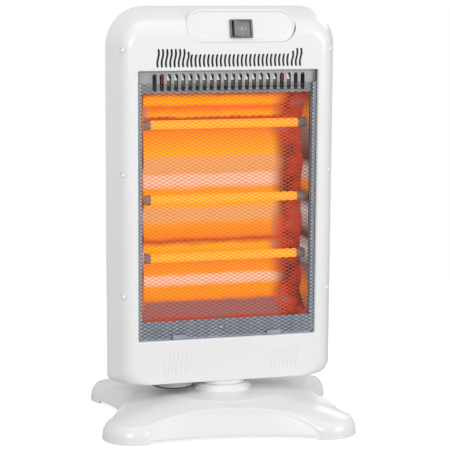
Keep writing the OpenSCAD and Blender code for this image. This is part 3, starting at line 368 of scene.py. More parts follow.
# Painted glow on the end plates, with pale painted highlights between its bands.
painted_side_glow = glow_surface("painted_side_glow", [
    (0.0, MAUVE), (0.12, ORANGE), (0.22, (0.16, 0.12, 0.12)), (0.3, (0.6, 0.56, 0.56)), (0.36, DUSK),
    (0.47, (0.62, 0.58, 0.58)), (0.52, DUSK), (0.58, ORANGE), (0.66, (0.6, 0.5, 0.48)), (0.7, DUSK),
    (0.82, (0.24, 0.15, 0.15)), (0.9, ORANGE), (1.0, DUSK)], TROUGH_Z0, TROUGH_Z1, 0.75, streak=0.8)
hot_coil = surface("glowing_wire", (1.0, 0.55, 0.12), 0.5, vary=0.05, scale=200, emit=(1.0, 0.56, 0.07),
                   emit_power=1.35)


def quartz_glow():
    mat = bpy.data.materials.new("quartz")
    tree, nodes, links, shader = nodes_of(mat)
    coord = nodes.new("ShaderNodeTexCoord")
    wave = nodes.new("ShaderNodeTexWave")
    wave.bands_direction = "X"
    wave.inputs["Scale"].default_value = 110
    wave.inputs["Distortion"].default_value = 0.6
    links.new(coord.outputs["Object"], wave.inputs["Vector"])
    heat = ramp(nodes, [(0.0, (0.86, 0.25, 0.012)), (1.0, (0.92, 0.38, 0.03))])
    links.new(wave.outputs["Fac"], heat.inputs["Fac"])
    links.new(heat.outputs["Color"], shader.inputs["Emission Color"])
    links.new(heat.outputs["Color"], shader.inputs["Base Color"])
    shader.inputs["Emission Strength"].default_value = 1.0
    shader.inputs["Roughness"].default_value = 0.12
    shader.inputs["Alpha"].default_value = 0.8
    return mat


quartz = quartz_glow()

# ---------------------------------------------------------------- mesh helpers


def piece(name, verts, faces, mat, body, stands_for=(), finish="", place=at_head, sharp=32, smooth=True):
    mesh = bpy.data.meshes.new(name)
    mesh.from_pydata([place(v) for v in verts], [], faces)
    mesh.validate()
    obj = bpy.data.objects.new(name, mesh)
    bpy.context.scene.collection.objects.link(obj)
    dress(obj, mat, body, stands_for, sharp, smooth)
    return obj


def dress(obj, mat, body, stands_for=(), sharp=32, smooth=True):
    mesh = obj.data
    tidy = bmesh.new()
    tidy.from_mesh(mesh)
    bmesh.ops.recalc_face_normals(tidy, faces=tidy.faces)
    tidy.to_mesh(mesh)
    tidy.free()
    mesh.materials.clear()
    mesh.materials.append(mat)
    if smooth:
        mesh.shade_smooth()
        mesh.set_sharp_from_angle(angle=math.radians(sharp))
    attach(obj, body)
    if stands_for:
        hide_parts(*stands_for)


def loft(rings, loop=False, caps=True):
    n = len(rings[0])
    verts = [v for ring in rings for v in ring]
    faces = []
    m = len(rings)
    for j in range(m if loop else m - 1):
        for i in range(n):
            a, b = j * n + i, j * n + (i + 1) % n
            c, d = ((j + 1) % m) * n + (i + 1) % n, ((j + 1) % m) * n + i
            faces.append((a, b, c, d))
    if not loop and caps:
        faces.append(tuple(range(n)))
        faces.append(tuple(range((m - 1) * n, m * n))[::-1])
    return verts, faces


def join(*parts):
    verts, faces = [], []
    for v, f in parts:
        start = len(verts)
        verts += list(v)
        faces += [tuple(i + start for i in face) for face in f]
    return verts, faces


def revolve(profile, steps, centre, loop=False, caps=True):
    """A profile of (radius, height) turned about an upright line."""
    cx, cy = centre
    rings = []
    for r, z in profile:
        rings.append([(cx + r * math.cos(2 * math.pi * i / steps),
                       cy + r * math.sin(2 * math.pi * i / steps), z) for i in range(steps)])
    return loft(rings, loop, caps)


def plain_box(x0, x1, y0, y1, z0, z1):
    verts = [(x, y, z) for z in (z0, z1) for y in (y0, y1) for x in (x0, x1)]
    return verts, [(0, 1, 3, 2), (4, 6, 7, 5), (0, 4, 5, 1), (2, 3, 7, 6), (0, 2, 6, 4), (1, 5, 7, 3)]


def prism(outline, y0, y1):
    """An outline of (x, z) made solid from depth y0 to y1."""
    return loft([[(x, y, z) for x, z in outline] for y in (y0, y1)])


def quarter(cx, cz, r, q, n):
    return [(cx + r * math.cos(math.pi / 2 * (q + i / n)), cz + r * math.sin(math.pi / 2 * (q + i / n)))
            for i in range(n + 1)]


def pill(w, h, cx=0, cz=0, n=12):
    r, half = h / 2, (w - h) / 2
    return (quarter(cx + half, cz, r, 0, n) + quarter(cx - half, cz, r, 1, n)
            + quarter(cx - half, cz, r, 2, n) + quarter(cx + half, cz, r, 3, n))


def upright_pill(w, h, cx, cz, n=5):
    return [(cx + (z - cz), cz + (x - cx)) for x, z in pill(h, w, cx, cz, n)]


def cut(obj, verts, faces, place=at_head):
    """Takes a solid out of a piece for good, so that no modifier is left on it."""
    mesh = bpy.data.meshes.new("cutter")
    mesh.from_pydata([place(v) for v in verts], [], faces)
    tidy = bmesh.new()
    tidy.from_mesh(mesh)
    bmesh.ops.recalc_face_normals(tidy, faces=tidy.faces)
    tidy.to_mesh(mesh)
    tidy.free()
    tool = bpy.data.objects.new("cutter", mesh)
    bpy.context.scene.collection.objects.link(tool)
    step = obj.modifiers.new("cut", "BOOLEAN")
    step.operation = "DIFFERENCE"
    step.solver = "EXACT"
    step.object = tool
    bpy.context.view_layer.update()
    done = bpy.data.meshes.new_from_object(obj.evaluated_get(bpy.context.evaluated_depsgraph_get()))
    obj.modifiers.clear()
    old = obj.data
    obj.data = done
    bpy.data.meshes.remove(old)
    bpy.data.objects.remove(tool)
    bpy.data.meshes.remove(mesh)


# ---------------------------------------------------------------- the head's two shells

CORNER = 14


def rounding(d, r):
    """Share of a rounding of radius r that is still ahead at depth d."""
    return 0 if d >= r else 1 - math.sqrt(1 - ((r - d) / r) ** 2)


def frame_ring(w, z0, z1, r_low, r_top, y):
    flat = (quarter(w - r_top, z1 - r_top, r_top, 0, CORNER)
            + quarter(-w + r_top, z1 - r_top, r_top, 1, CORNER)
            + quarter(-w + r_low, z0 + r_low, r_low, 2, CORNER)
            + quarter(w - r_low, z0 + r_low, r_low, 3, CORNER))
    return [(x, y, z) for x, z in flat]


def side_in(d):
    return 18 * (1 - d / DEPTH) + 10.5 * rounding(d, 10)


def top_in(d):
    return 22 * (1 - d / DEPTH) + 13.5 * rounding(d, 12)


def low_r(d):
    return 11 + 17 * (1 - d / DEPTH) ** 4


def outer_ring(d, t):
    lift = min(t, WALL) + (0.9 * rounding(d, 1.2) if d < 1.2 else 0)
    return frame_ring(HEAD_W / 2 - side_in(d) - t, HEAD_Z0 + lift, HEAD_TOP - top_in(d) - t,
                      max(1, low_r(d) - t), max(2, max(9, CORNER_R - 1.1 * side_in(d)) - t), d - FORWARD)


def window_ring(grow, d):
    return frame_ring(WINDOW_W / 2 + grow, WINDOW_Z0 - grow, WINDOW_Z1 + grow, 2 + grow, 2 + grow,
                      d - FORWARD)


front_rings = [outer_ring(d, t) for d, t in (
    (38, 0.6), (37.8, 0.25), (37.3, 0.05), (36.6, 0), (30, 0), (22, 0), (15, 0), (12.6, 0), (11.5, 0),
    (10, 0), (8.6, 0), (7.2, 0), (6, 0), (4.9, 0), (3.9, 0), (3, 0), (2.2, 0), (1.5, 0), (0.9, 0),
    (0.45, 0), (0.12, 0), (0, 0), (0, 0.7))]
front_rings += [window_ring(g, d) for g, d in (
    (2.4, 0), (1.5, 0), (1.1, 0.06), (0.6, 0.3), (0.2, 0.75), (0, 1.4), (0, 5), (2, 5), (2, 2.6))]
front_rings += [outer_ring(d, t) for d, t in ((2.6, 3.6), (7, 3), (14, 2.6), (38, 2.6))]
front = piece("front_case", *loft(front_rings, loop=True), white, "head", ["front_frame"], "white_gloss")


def wave_slot(x, z, h, bow, s_turns, w, steps=10):
    def side(dx):
        out = []
        for i in range(steps + 1):
            s = i / steps
            swing = -math.sin(2 * math.pi * s) if s_turns else math.sin(math.pi * s)
            out.append((x + dx + bow * swing - bow * 0.3 * s * (-6 if s_turns else 1), z + h * s))
        return out
    right, left = side(w / 2), side(-w / 2)
    tip = [(x2 + (x1 - x2) * f, y1 + (w / 2) * math.sin(math.pi * f))
           for (x1, y1), (x2, _) in ((right[-1], left[-1]),) for f in (0.75, 0.5, 0.25)]
    toe = [(x1 + (x2 - x1) * f, y1 - (w / 2) * math.sin(math.pi * f))
           for (x1, y1), (x2, _) in ((left[0], right[0]),) for f in (0.25, 0.5, 0.75)]
    return right + tip + left[::-1] + toe


SLOTS, PITCH, SLOT_W = 35, 5.53, 3.0
GROOVES, GROOVE_MID, GROOVE_W, GROOVE_DEPTH = 7, (-69, 76), 1.5, 0.42
SCREW_CUT_R = 3.32
slot_cuts, groove_cuts = [], []
for i in range(SLOTS):
    from_right = SLOTS - 1 - i
    is_long = i < 7 or from_right < 2
    is_mid = i == 7 or from_right == 2
    tall = 21 if is_long else (17.5 if is_mid else 14)
    slot_cuts.append(prism(wave_slot((i - (SLOTS - 1) / 2) * PITCH, WINDOW_Z1 + 5.4, tall,
                                     0.7 if is_long or is_mid else -1, is_long or is_mid, SLOT_W),
                           -FORWARD - 1, -FORWARD + WALL + 1))
for x in GROOVE_MID:
    for i in range(GROOVES):
        groove_cuts.append(prism(wave_slot(x + (i - 3) * PITCH, HEAD_Z0 + 12.5, 28, 0.9, True, GROOVE_W),
                                 -FORWARD - 1, -FORWARD + GROOVE_DEPTH))
screw_cuts = []
for x in (-SCREW_X, SCREW_X):
    for z in SCREW_Z:
        ring = [(x + SCREW_CUT_R * math.cos(2 * math.pi * i / 32),
                 z + SCREW_CUT_R * math.sin(2 * math.pi * i / 32))
                for i in range(32)]
        screw_cuts.append(prism(ring, -FORWARD - 1, -FORWARD + 12))
cut(front, *join(*slot_cuts))
cut(front, *join(*groove_cuts))
cut(front, *join(*screw_cuts))
panel_hole = pill(PANEL_W + 0.3, PANEL_H + 0.3, 0, PANEL_H / 2, 16)
cut(front, *loft([[(x, y, z) for x, y in panel_hole] for z in (-28, 20)]), at_panel)
dress(front, white, "head")


def rear_in(e):
    return 20 * e + 22 * rounding(1 - e, 0.52)


def rear_ring(e, y, t):
    lift = 6 * rounding(1 - e, 0.3)
    return frame_ring(HEAD_W / 2 - rear_in(e) - t, HEAD_Z0 + lift + t, HEAD_TOP - 0.8 * rear_in(e) - t,
                      max(2, 11 + 0.4 * rear_in(e) - t), max(4, CORNER_R - 0.4 * rear_in(e) - t), y)


rear_steps = (0.02, 0.12, 0.24, 0.36, 0.46, 0.52, 0.58, 0.64, 0.7, 0.76, 0.81, 0.86, 0.9, 0.935, 0.965,
              0.985, 0.996, 1)
rear_rings = [rear_ring(1, SEAM_Y + SHELL_DEPTH, 0.8)]
rear_rings += [rear_ring(e, SEAM_Y + e * SHELL_DEPTH, 0) for e in rear_steps[::-1]]
rear_rings += [rear_ring(0, SEAM_Y + y, t) for y, t in ((0.5, 0.05), (0.2, 0.25), (0.05, 0.6))]
rear_rings += [rear_ring(e, SEAM_Y + e * (SHELL_DEPTH - WALL), WALL) for e in (0, 0.24, 0.5, 0.72, 0.9, 1)]
rear = piece("rear_case", *loft(rear_rings), white, "head", ["rear_shell"], "white_gloss")
back_cut = (SEAM_Y + SHELL_DEPTH - 6, SEAM_Y + SHELL_DEPTH + 2)
vents = [prism(pill(30, 5, x * 40, HEAD_Z0 + 150.4 + z * 21.9, 5), *back_cut)
         for z in range(9) for x in range(-2, 3)]
cut(rear, *join(*vents, prism(pill(110.4, 34.4, 0, HEAD_TOP - 72, 12), *back_cut)))
dress(rear, white, "head")

# Domed caps over the six case screws, each leaning with the side it closes
caps = []
for x in (-SCREW_X, SCREW_X):
    for z in SCREW_Z:
        out = Vector((0.72 * (1 if x > 0 else -1), -0.69, 0)).normalized()
        across, up = Vector((out.y, -out.x, 0)), Vector((0, 0, 1))
        middle = Vector((x, -FORWARD + 7.2, z))
        rings = []
        for r, h in ((3.25, -5), (3.25, -0.6), (3.15, 0), (2.9, 0.45), (2.3, 0.85), (1.4, 1.15), (0.5, 1.28)):
            rings.append([tuple(middle + across * r * math.cos(2 * math.pi * i / 24)
                                + up * r * math.sin(2 * math.pi * i / 24) + out * h) for i in range(24)])
        caps.append(loft(rings))
piece("screw_caps", *join(*caps), plug_white, "head", ["screw_plugs"], "white_gloss")

# ---------------------------------------------------------------- control panel and switch


def panel_ring(inset, z):
    return [(x, y, z) for x, y in pill(PANEL_W - 2 * inset, PANEL_H - 2 * inset, 0, PANEL_H / 2, 16)]


panel_steps = ((2.2, -2.8), (2.2, -24), (0, -24), (0, -1.6), (0.15, -0.9), (0.45, -0.4), (0.9, -0.1),
               (1.4, 0), (2.3, 0), (2.8, -0.15), (3.2, -0.5), (3.5, -1.0), (3.8, -1.3), (4.1, -1.2),
               (4.6, -0.95), (5.4, -0.8), (7, -0.8))
panel = piece("panel_dish", *loft([panel_ring(*s) for s in panel_steps]), panel_white, "head",
              ["control_panel"], "white_gloss", at_panel)
switch_hole = ((-13.7, -11.7), (13.7, -11.7), (13.7, 11.7), (-13.7, 11.7))
cut(panel, *loft([[(x, y + SWITCH_MID, z) for x, y in switch_hole] for z in (-6, 3)]), at_panel)
dress(panel, panel_white, "head")


def rounded(w, h, r, n=6):
    return (quarter(w / 2 - r, h / 2 - r, r, 0, n) + quarter(-w / 2 + r, h / 2 - r, r, 1, n)
            + quarter(-w / 2 + r, -h / 2 + r, r, 2, n) + quarter(w / 2 - r, -h / 2 + r, r, 3, n))


def switch_ring(w, h, r, z):
    return [(x, y + SWITCH_MID, z) for x, y in rounded(w, h, r)]


bezel_steps = ((30, 24, 1.8, -0.45), (30, 24, 1.8, 0.9), (29.6, 23.6, 1.7, 1.5), (28.8, 22.8, 1.6, 1.9),
               (27.8, 21.8, 1.3, 2.0), (25.4, 20.6, 0.9, 2.0), (25.0, 20.2, 0.7, 1.7), (24.7, 20.0, 0.6, 1.0),
               (24.6, 20.0, 0.6, -8), (27, 23, 0.6, -8), (27, 23, 0.6, -0.45))
bezel = loft([switch_ring(*s) for s in bezel_steps], loop=True)
socket = loft([switch_ring(27, 23, 0.6, z) for z in (-8.2, -22)])
terminals = [plain_box(x * 8 - 0.4, x * 8 + 0.4, SWITCH_MID - 3, SWITCH_MID + 3, -30, -21.5)
             for x in (-1, 0, 1)]
piece("switch_frame", *join(bezel, socket, *terminals), dark_plastic, "head", ["switch_housing"],
      "dark_switch", at_panel)

# Rocker: two dished halves over a pin, tipped to its right end
TIP = math.radians(12)


def at_rocker(p):
    x, y, z = p
    return at_panel((x * math.cos(TIP) + z * math.sin(TIP), y + SWITCH_MID,
                     -3 - x * math.sin(TIP) + z * math.cos(TIP)))


def rocker_top(x):
    h = (12 - 3.4 * math.sin(TIP)) * math.cos(TIP)
    return 3.4 + math.tan(TIP) * h * (math.sqrt((x / h) ** 2 + 0.01) - 0.1) / 0.905


rocker_rings = []
half = (12 - 3.4 * math.sin(TIP)) * math.cos(TIP)
line = [-half + i * half / 12 for i in range(25)]
profile = [(x, rocker_top(x)) for x in line]
profile[0] = (profile[0][0] + 0.05, profile[0][1] - 0.5)
profile[-1] = (profile[-1][0] - 0.05, profile[-1][1] - 0.5)
profile += [(half - 0.6, 0.5), (3, -1.6), (-3, -1.6), (-half + 0.6, 0.5)]
for y, shrink in ((-9.7, 0.5), (-9.5, 0.15), (-9.1, 0), (9.1, 0), (9.5, 0.15), (9.7, 0.5)):
    rocker_rings.append([(x * (1 - shrink / 14), y, z - shrink * (1 if z > 1 else 0)) for x, z in profile])
pin = [[(1.5 * math.cos(2 * math.pi * i / 24), y, 1.5 * math.sin(2 * math.pi * i / 24)) for i in range(24)]
       for y in (-10.9, 10.9)]
piece("rocker_key", *join(loft(rocker_rings), loft(pin)), rocker_grey, "rocker", ["switch_rocker"],
      "grey_rocker", at_rocker)


def mark(outline):
    """A printed mark laid just over the rocker's face."""
    low = [(x, y, rocker_top(x) + 0.02) for x, y in outline]
    high = [(x, y, rocker_top(x) + 0.09) for x, y in outline]
    return loft([low, high])


def bar(cx, cy, w, h):
    return [(cx - w / 2, cy - h / 2), (cx + w / 2, cy - h / 2), (cx + w / 2, cy + h / 2),
            (cx - w / 2, cy + h / 2)]


def ring_mark(cx, cy, rx, ry, t, n=28):
    parts = []
    for i in range(n):
        a, b = 2 * math.pi * i / n, 2 * math.pi * (i + 1) / n
        quad = [(cx + (rx - k) * math.cos(c), cy + (ry - k) * math.sin(c))
                for c, k in ((a, 0), (b, 0), (b, t), (a, t))]
        parts.append(mark(quad))
    return parts


marks = [mark(bar(-4.2, 0, 2.6, 0.75)), mark(bar(4.6, 0.9, 2.6, 0.7)), mark(bar(4.6, -0.9, 2.6, 0.7))]
marks += ring_mark(0, 0, 1.25, 1.9, 0.6)
piece("rocker_marks", *join(*marks), mark_white, "rocker", (), "dark_switch", at_rocker)

# ---------------------------------------------------------------- guard of expanded metal

GUARD_W, GUARD_Z0, GUARD_Z1, GUARD_Y = 228, 118.3, 445.3, -26.4
COLS, ROWS = 24, 68
STRAND, STRAND_T = 0.62, 0.55


def zigzag(points, wide, thick, axis):
    """A strand through points: wide in its own plane, thick across it."""
    rings = []
    for k, p in enumerate(points):
        ring = []
        for a, b in ((-1, -1), (1, -1), (1, 1), (-1, 1)):
            if axis == "y":
                ring.append((p[0], p[1] + a * thick / 2, p[2] + b * wide / 2))
            else:
                ring.append((p[0] + a * thick / 2, p[1], p[2] + b * wide / 2))
        rings.append(ring)
    return loft(rings)


strands = []
step_x, step_z = GUARD_W / (2 * COLS), (GUARD_Z1 - GUARD_Z0) / (2 * ROWS)
middle_y = GUARD_Y + 0.4
for j in range(2 * ROWS):
    z0 = GUARD_Z0 + j * step_z
    points = []
    for i in range(2 * COLS + 1):
        points.append((-GUARD_W / 2 + i * step_x, middle_y, z0 + (step_z if (i + j) % 2 else 0)))
    strands.append(zigzag(points, STRAND, STRAND_T, "y"))
piece("guard_net", *join(*strands), guard_steel, "head", ["guard_mesh"], "guard_steel", sharp=40)

flanges = []
for x in (-GUARD_W / 2 + 0.3, GUARD_W / 2 - 0.3):
    for j in range(int((TROUGH_Z1 - TROUGH_Z0 - 6) / step_z / 2) * 2):
        z0 = TROUGH_Z0 + 3 + j * step_z
        points = [(x, GUARD_Y + 0.6 + i * 2.3, z0 + (step_z if (i + j) % 2 else 0)) for i in range(5)]
        flanges.append(zigzag(points, 1.05, 0.6, "x"))
    flanges.append(plain_box(x - 0.3, x + 0.3, -17.3, -16.5, TROUGH_Z0 + 1, TROUGH_Z1 - 1))
margin_strands = []
for j in range(2 * ROWS):
    for first in (-2, 2 * COLS):
        points = [(-GUARD_W / 2 + i * step_x, middle_y, GUARD_Z0 + (j + (1 if (i + j) % 2 else 0)) * step_z)
                  for i in range(first, first + 3)]
        margin_strands.append(zigzag(points, STRAND, STRAND_T, "y"))
piece("guard_margins", *join(*margin_strands), margin_steel, "head", (), "guard_steel", sharp=40)
margins = [plain_box(-121.6, -113.8, GUARD_Y + 1.5, GUARD_Y + 1.9, GUARD_Z0 + 2, GUARD_Z1),
           plain_box(113.8, 118.8, GUARD_Y + 1.5, GUARD_Y + 1.9, GUARD_Z0 + 2, GUARD_Z1)]
piece("margin_sheets", *join(*margins), liner_sheet, "head", (), "bright_sheet", smooth=False)
piece("guard_edges", *join(*flanges), lit_flange_steel, "head", (), "guard_steel", sharp=40)

# ---------------------------------------------------------------- louvre strip with pressed blades

STRIP_W, STRIP_Z0, STRIP_Z1, STRIP_Y = 243, TROUGH_Z1, 466.3, -21
LOUVRES, LOUVRE_PITCH, LOUVRE_GAP, LOUVRE_H = 22, 9.36, 5.4, 22
louvre_x = [2.7 + (i + 0.5 - LOUVRES / 2) * LOUVRE_PITCH for i in range(LOUVRES)]
louvre_mid = WINDOW_Z1 - 4 - LOUVRE_H / 2
strip = piece("louvre_plate",
              *plain_box(-STRIP_W / 2, STRIP_W / 2, STRIP_Y, STRIP_Y + 0.8, STRIP_Z0, STRIP_Z1),
              strip_sheet, "head", ["louvre_strip"], "bright_sheet")
cut(strip, *join(*[prism(upright_pill(LOUVRE_GAP, LOUVRE_H, x, louvre_mid), STRIP_Y - 2, STRIP_Y + 3)
                   for x in louvre_x]))
dress(strip, strip_sheet, "head")
piece("louvre_ledge", *plain_box(-STRIP_W / 2, STRIP_W / 2, -28.4, STRIP_Y, STRIP_Z1 - 0.8, STRIP_Z1),
      strip_sheet, "head", (), "bright_sheet")


def blades(chosen, low, high, width_low, width_high):
    """Flaps bent in from the left edge of each louvre, between two shares of its height."""
    parts = []
    for x in chosen:
        rings = []
        for k in range(7):
            s = k / 6
            z = louvre_mid + LOUVRE_H * (low + (high - low) * s - 0.5)
            wide = width_low + (width_high - width_low) * s
            rings.append([(x - LOUVRE_GAP / 2 - 0.1, STRIP_Y + 0.5, z),
                          (x - LOUVRE_GAP / 2 + wide, STRIP_Y + 0.5 + wide * 0.16, z),
                          (x - LOUVRE_GAP / 2 + wide - 0.2, STRIP_Y + 1 + wide * 0.16, z),
                          (x - LOUVRE_GAP / 2 - 0.1, STRIP_Y + 1, z)])
        parts.append(loft(rings))
    return join(*parts)


flapped = louvre_x[2:18] + louvre_x[19:20]
piece("louvre_blades", *blades(flapped, 0.62, 0.95, 4.6, 1.3), strip_sheet, "head", (), "bright_sheet")
# The lower flaps take the near-black copy: painted shade.
piece("louvre_sills", *blades(flapped, 0.27, 0.62, 6.6, 4.6), shaded_sill_sheet, "head", (), "bright_sheet")
# Painted shade: a near-black plate behind the louvres darkens their slots.
piece("louvre_backing", *plain_box(-108, 108, STRIP_Y + 9, STRIP_Y + 9.6, STRIP_Z0 + 3, STRIP_Z1 - 12),
      dark_rubber, "head", (), "steel")
piece("strip_lip", *plain_box(-119, 119, STRIP_Y - 0.7, STRIP_Y - 0.1, WINDOW_Z1 - 3.3, WINDOW_Z1 - 2.1),
      liner_sheet, "head", (), "bright_sheet", smooth=False)
leads = [revolve([(0.1, louvre_mid - 1), (0.9, louvre_mid - 1), (0.9, STRIP_Z1 - 4), (0.1, STRIP_Z1 - 4)], 12,
                 (louvre_x[i] + 0.9, STRIP_Y + 2.6), loop=True) for i in (1, 18)]
piece("lead_ends", *join(*leads), red_wire, "head", (), "red_wire", sharp=60)

# Dull, near-black plate that closes the space behind the wavy slots: painted shade inside them.
piece("vent_screen", *plain_box(-104, 104, -25.6, -25, WINDOW_Z1 + 5.6, WINDOW_Z1 + 29), shade_dark_sheet,
      "head", (), "steel", smooth=False)

# ---------------------------------------------------------------- reflector and tubes

trough = [(10.8, TROUGH_Z1), (38, TROUGH_Z1 - 27.4), (38, 358), (28, 338), (38, 320), (38, 278.3),
          (28, 258.25), (38, 240.25), (38, 207.5), (28, 187.5), (38, 169.5), (38, TROUGH_Z0 + 25),
          (7.8, TROUGH_Z0)]
for _ in range(3):
    finer = [trough[0]]
    for (a, b), (c, d) in zip(trough, trough[1:]):
        finer += [(a * 0.75 + c * 0.25, b * 0.75 + d * 0.25), (a * 0.25 + c * 0.75, b * 0.25 + d * 0.75)]
    trough = finer + [trough[-1]]
sections = []
for i in range(25):
    x = -111.6 + i * 9.3
    face = [(x, d - FORWARD, z) for d, z in trough]
    behind = [(x, d - FORWARD + 0.7, z) for d, z in reversed(trough)]
    sections.append(face + behind)
piece("mirror_trough", *loft(sections), painted_mirror_glow, "head", ["reflector"], "bright_sheet", sharp=40)

# Side plates: each closes an end of the trough and folds out to a flange behind the frame
for side, word in ((-1, "left"), (1, "right")):
    outline = [(7.8, TROUGH_Z0 - 0.8), (10.8, TROUGH_Z1 + 0.8), (39.6, TROUGH_Z1 - 26.6),
               (39.6, TROUGH_Z0 + 24.2)]
    wall_rings = [[(side * x, d - FORWARD, z) for d, z in outline] for x in (110, 110.8)]
    plate = piece("end_plate_" + word, *loft(wall_rings), painted_side_glow, "head", ["side_plate_" + word],
                  "bright_sheet", smooth=False)
    holes = []
    for z in TUBE_Z:
        holes.append(loft([[(side * x, TUBE_Y + 6.7 * math.cos(math.pi * i / 16),
                             z + 6.7 * math.sin(math.pi * i / 16))
                            for i in range(32)] for x in (109, 112)]))
    cut(plate, *join(*holes))
    dress(plate, painted_side_glow, "head", smooth=False)
    x0, x1 = sorted((side * 110.8, side * 131))
    # Painted shade: each end flange is near-black behind the frame.
    piece("end_flange_" + word, *plain_box(x0, x1, -16.5, -15.7, TROUGH_Z0 + 4, TROUGH_Z1 - 4),
          shade_dark_sheet, "head", (), "bright_sheet", smooth=False)

COIL_TURNS, COIL_STEPS, COIL_R, WIRE_R = 96, 10, 2.1, 0.42
for n, z in enumerate(TUBE_Z, 1):
    tube = []
    for r, x in ((TUBE_R, -108.4), (TUBE_R, 108.4), (TUBE_R - 1, 108.4), (TUBE_R - 1, -108.4)):
        tube.append([(x, TUBE_Y + r * math.cos(2 * math.pi * i / 40), z + r * math.sin(2 * math.pi * i / 40))
                     for i in range(40)])
    piece("quartz_tube_%d" % n, *loft(tube, loop=True), quartz, "head", ["tube_%d" % n], "quartz", sharp=50)
    coil = []
    for k in range(COIL_TURNS * COIL_STEPS + 1):
        a = 2 * math.pi * k / COIL_STEPS
        x = -107 + 214 * k / (COIL_TURNS * COIL_STEPS)
        out = Vector((0, math.cos(a), math.sin(a)))
        centre = Vector((x, TUBE_Y, z)) + out * COIL_R
        coil.append([tuple(centre + out * WIRE_R * u + Vector((WIRE_R * v, 0, 0)))
                     for u, v in ((-1, 0), (0, -1), (1, 0), (0, 1))])
    piece("hot_coil_%d" % n, *loft(coil), hot_coil, "head", ["filament_%d" % n], "glowing_wire", sharp=80)

# Their glow is seen and mirrored, and leaves the white mouldings neutral
for obj in list(bpy.context.scene.objects):
    if obj.name.startswith(("mirror_trough", "end_plate", "quartz_tube", "hot_coil", "guard_")):
        obj.visible_diffuse = False

# ---------------------------------------------------------------- base

FOOT_C, FOOT_R, FRONT_MID, SIDE_MID = (123, 103.5), 41, 127.6, 131.3


def edge_r(mid, a, b):
    return (a * a + (mid - b) ** 2 - FOOT_R ** 2) / (2 * (FOOT_R - (mid - b)))


FRONT_R, SIDE_R = edge_r(FRONT_MID, FOOT_C[0], FOOT_C[1]), edge_r(SIDE_MID, FOOT_C[1], FOOT_C[0])
ANG_SIDE = math.atan2(-FOOT_C[1], SIDE_MID + SIDE_R - FOOT_C[0])
ANG_FRONT = math.atan2(FRONT_MID + FRONT_R - FOOT_C[1], -FOOT_C[0])
EDGE = [i / 14 for i in range(14)] + [0.945, 0.951, 0.975]
TOP_POWER = 1.15
ARCH_H, FOOT_H, CREST_H, FOOT_SHARE = 4.5, 28.5, 40, 0.1
PLATEAU_R, PLATEAU_BACK, PLATEAU_Z, BASE_WALL = 79.5, 21.4, 44, 2.8
EDGE_R, FOOT_EDGE_R = 6, 16.5
BOX_INSET, TAPER, ARCH_TAPER = 0.4, 0.7, 12.6


def base_quarter(g):
    out = []
    for s in EDGE:
        a = math.pi + s * ANG_SIDE
        out.append((SIDE_MID + SIDE_R + (SIDE_R + g) * math.cos(a), (SIDE_R + g) * math.sin(a), 1 - s * s))
    for i in range(21):
        a = ANG_SIDE + (ANG_FRONT - ANG_SIDE) * i / 20
        out.append((FOOT_C[0] + (FOOT_R - g) * math.cos(a), FOOT_C[1] + (FOOT_R - g) * math.sin(a), 0))
    for s in EDGE[:0:-1]:
        a = math.radians(270) + s * (ANG_FRONT - math.pi / 2)
        out.append(((FRONT_R + g) * math.cos(a), FRONT_MID + FRONT_R + (FRONT_R + g) * math.sin(a),
                    1 - s * s))
    return out


def base_line(g):
    q, mid = base_quarter(g), (0, FRONT_MID - g, 1)
    flip = lambda p, sx, sy: (p[0] * sx, p[1] * sy, p[2])
    return (q + [mid] + [flip(p, -1, 1) for p in q[:0:-1]] + [flip(p, -1, -1) for p in q]
            + [flip(mid, 1, -1)] + [flip(p, 1, -1) for p in q[:0:-1]])


FAR, NEAR = base_line(0), base_line(1)


def edge_z(s):
    """Height of the edge, level with the feet where it runs out into them."""
    away = min(1, (1 - math.sqrt(1 - s)) / 0.16)
    return FOOT_H + (CREST_H - FOOT_H) * s ** 0.8 * away * away * (3 - 2 * away)


def to_circle(p, r, z):
    v = Vector((p[0], p[1] + PLATEAU_BACK))
    v = v / v.length * r
    return (v.x, v.y - PLATEAU_BACK, z)


def skirt_ring(up, a, t=0, extra=0):
    """Side of the base; its rounding stops where it meets the slope of the top."""
    ring = []
    for f, n in zip(FAR, NEAR):
        s = f[2]
        r = EDGE_R + FOOT_EDGE_R * (1 - s) ** 2
        run = ((Vector(f[:2]) - Vector(to_circle(f, PLATEAU_R, 0)[:2])).length
               - (BOX_INSET + TAPER) - ARCH_TAPER * s - r)
        bend = min(math.radians(a), math.pi / 2 - math.atan2(TOP_POWER * (PLATEAU_Z - edge_z(s)), run))
        g = BOX_INSET + (TAPER + ARCH_TAPER * s) * up + r * (1 - math.cos(bend)) + t + extra
        z0 = ARCH_H if s > FOOT_SHARE else 1
        ring.append((f[0] + (n[0] - f[0]) * g, f[1] + (n[1] - f[1]) * g,
                     z0 + (edge_z(s) - r - z0) * up + (r - t) * math.sin(bend)))
    return ring


def top_ring(k, t=0):
    ring = []
    for p in skirt_ring(1, 90, t):
        q, z = to_circle(p, PLATEAU_R, PLATEAU_Z - t), p[2]
        ring.append((p[0] + (q[0] - p[0]) * k, p[1] + (q[1] - p[1]) * k,
                     z + (q[2] - z) * (1 - (1 - k) ** TOP_POWER)))
    return ring


def settle(rings, first, last, turns):
    """Evens out rings first to last - 1, each point moving to the mean of its four neighbours."""
    count = len(rings[0])
    for _ in range(turns):
        moved = [[tuple((a + b + c + d) / 4 for a, b, c, d in zip(
            rings[j][i - 1], rings[j][(i + 1) % count], rings[j - 1][i], rings[j + 1][i]))
            for i in range(count)] for j in range(first, last)]
        rings = rings[:first] + moved + rings[last:]
    return rings


def round_ring(r, z):
    return [to_circle(p, r, z) for p in FAR]


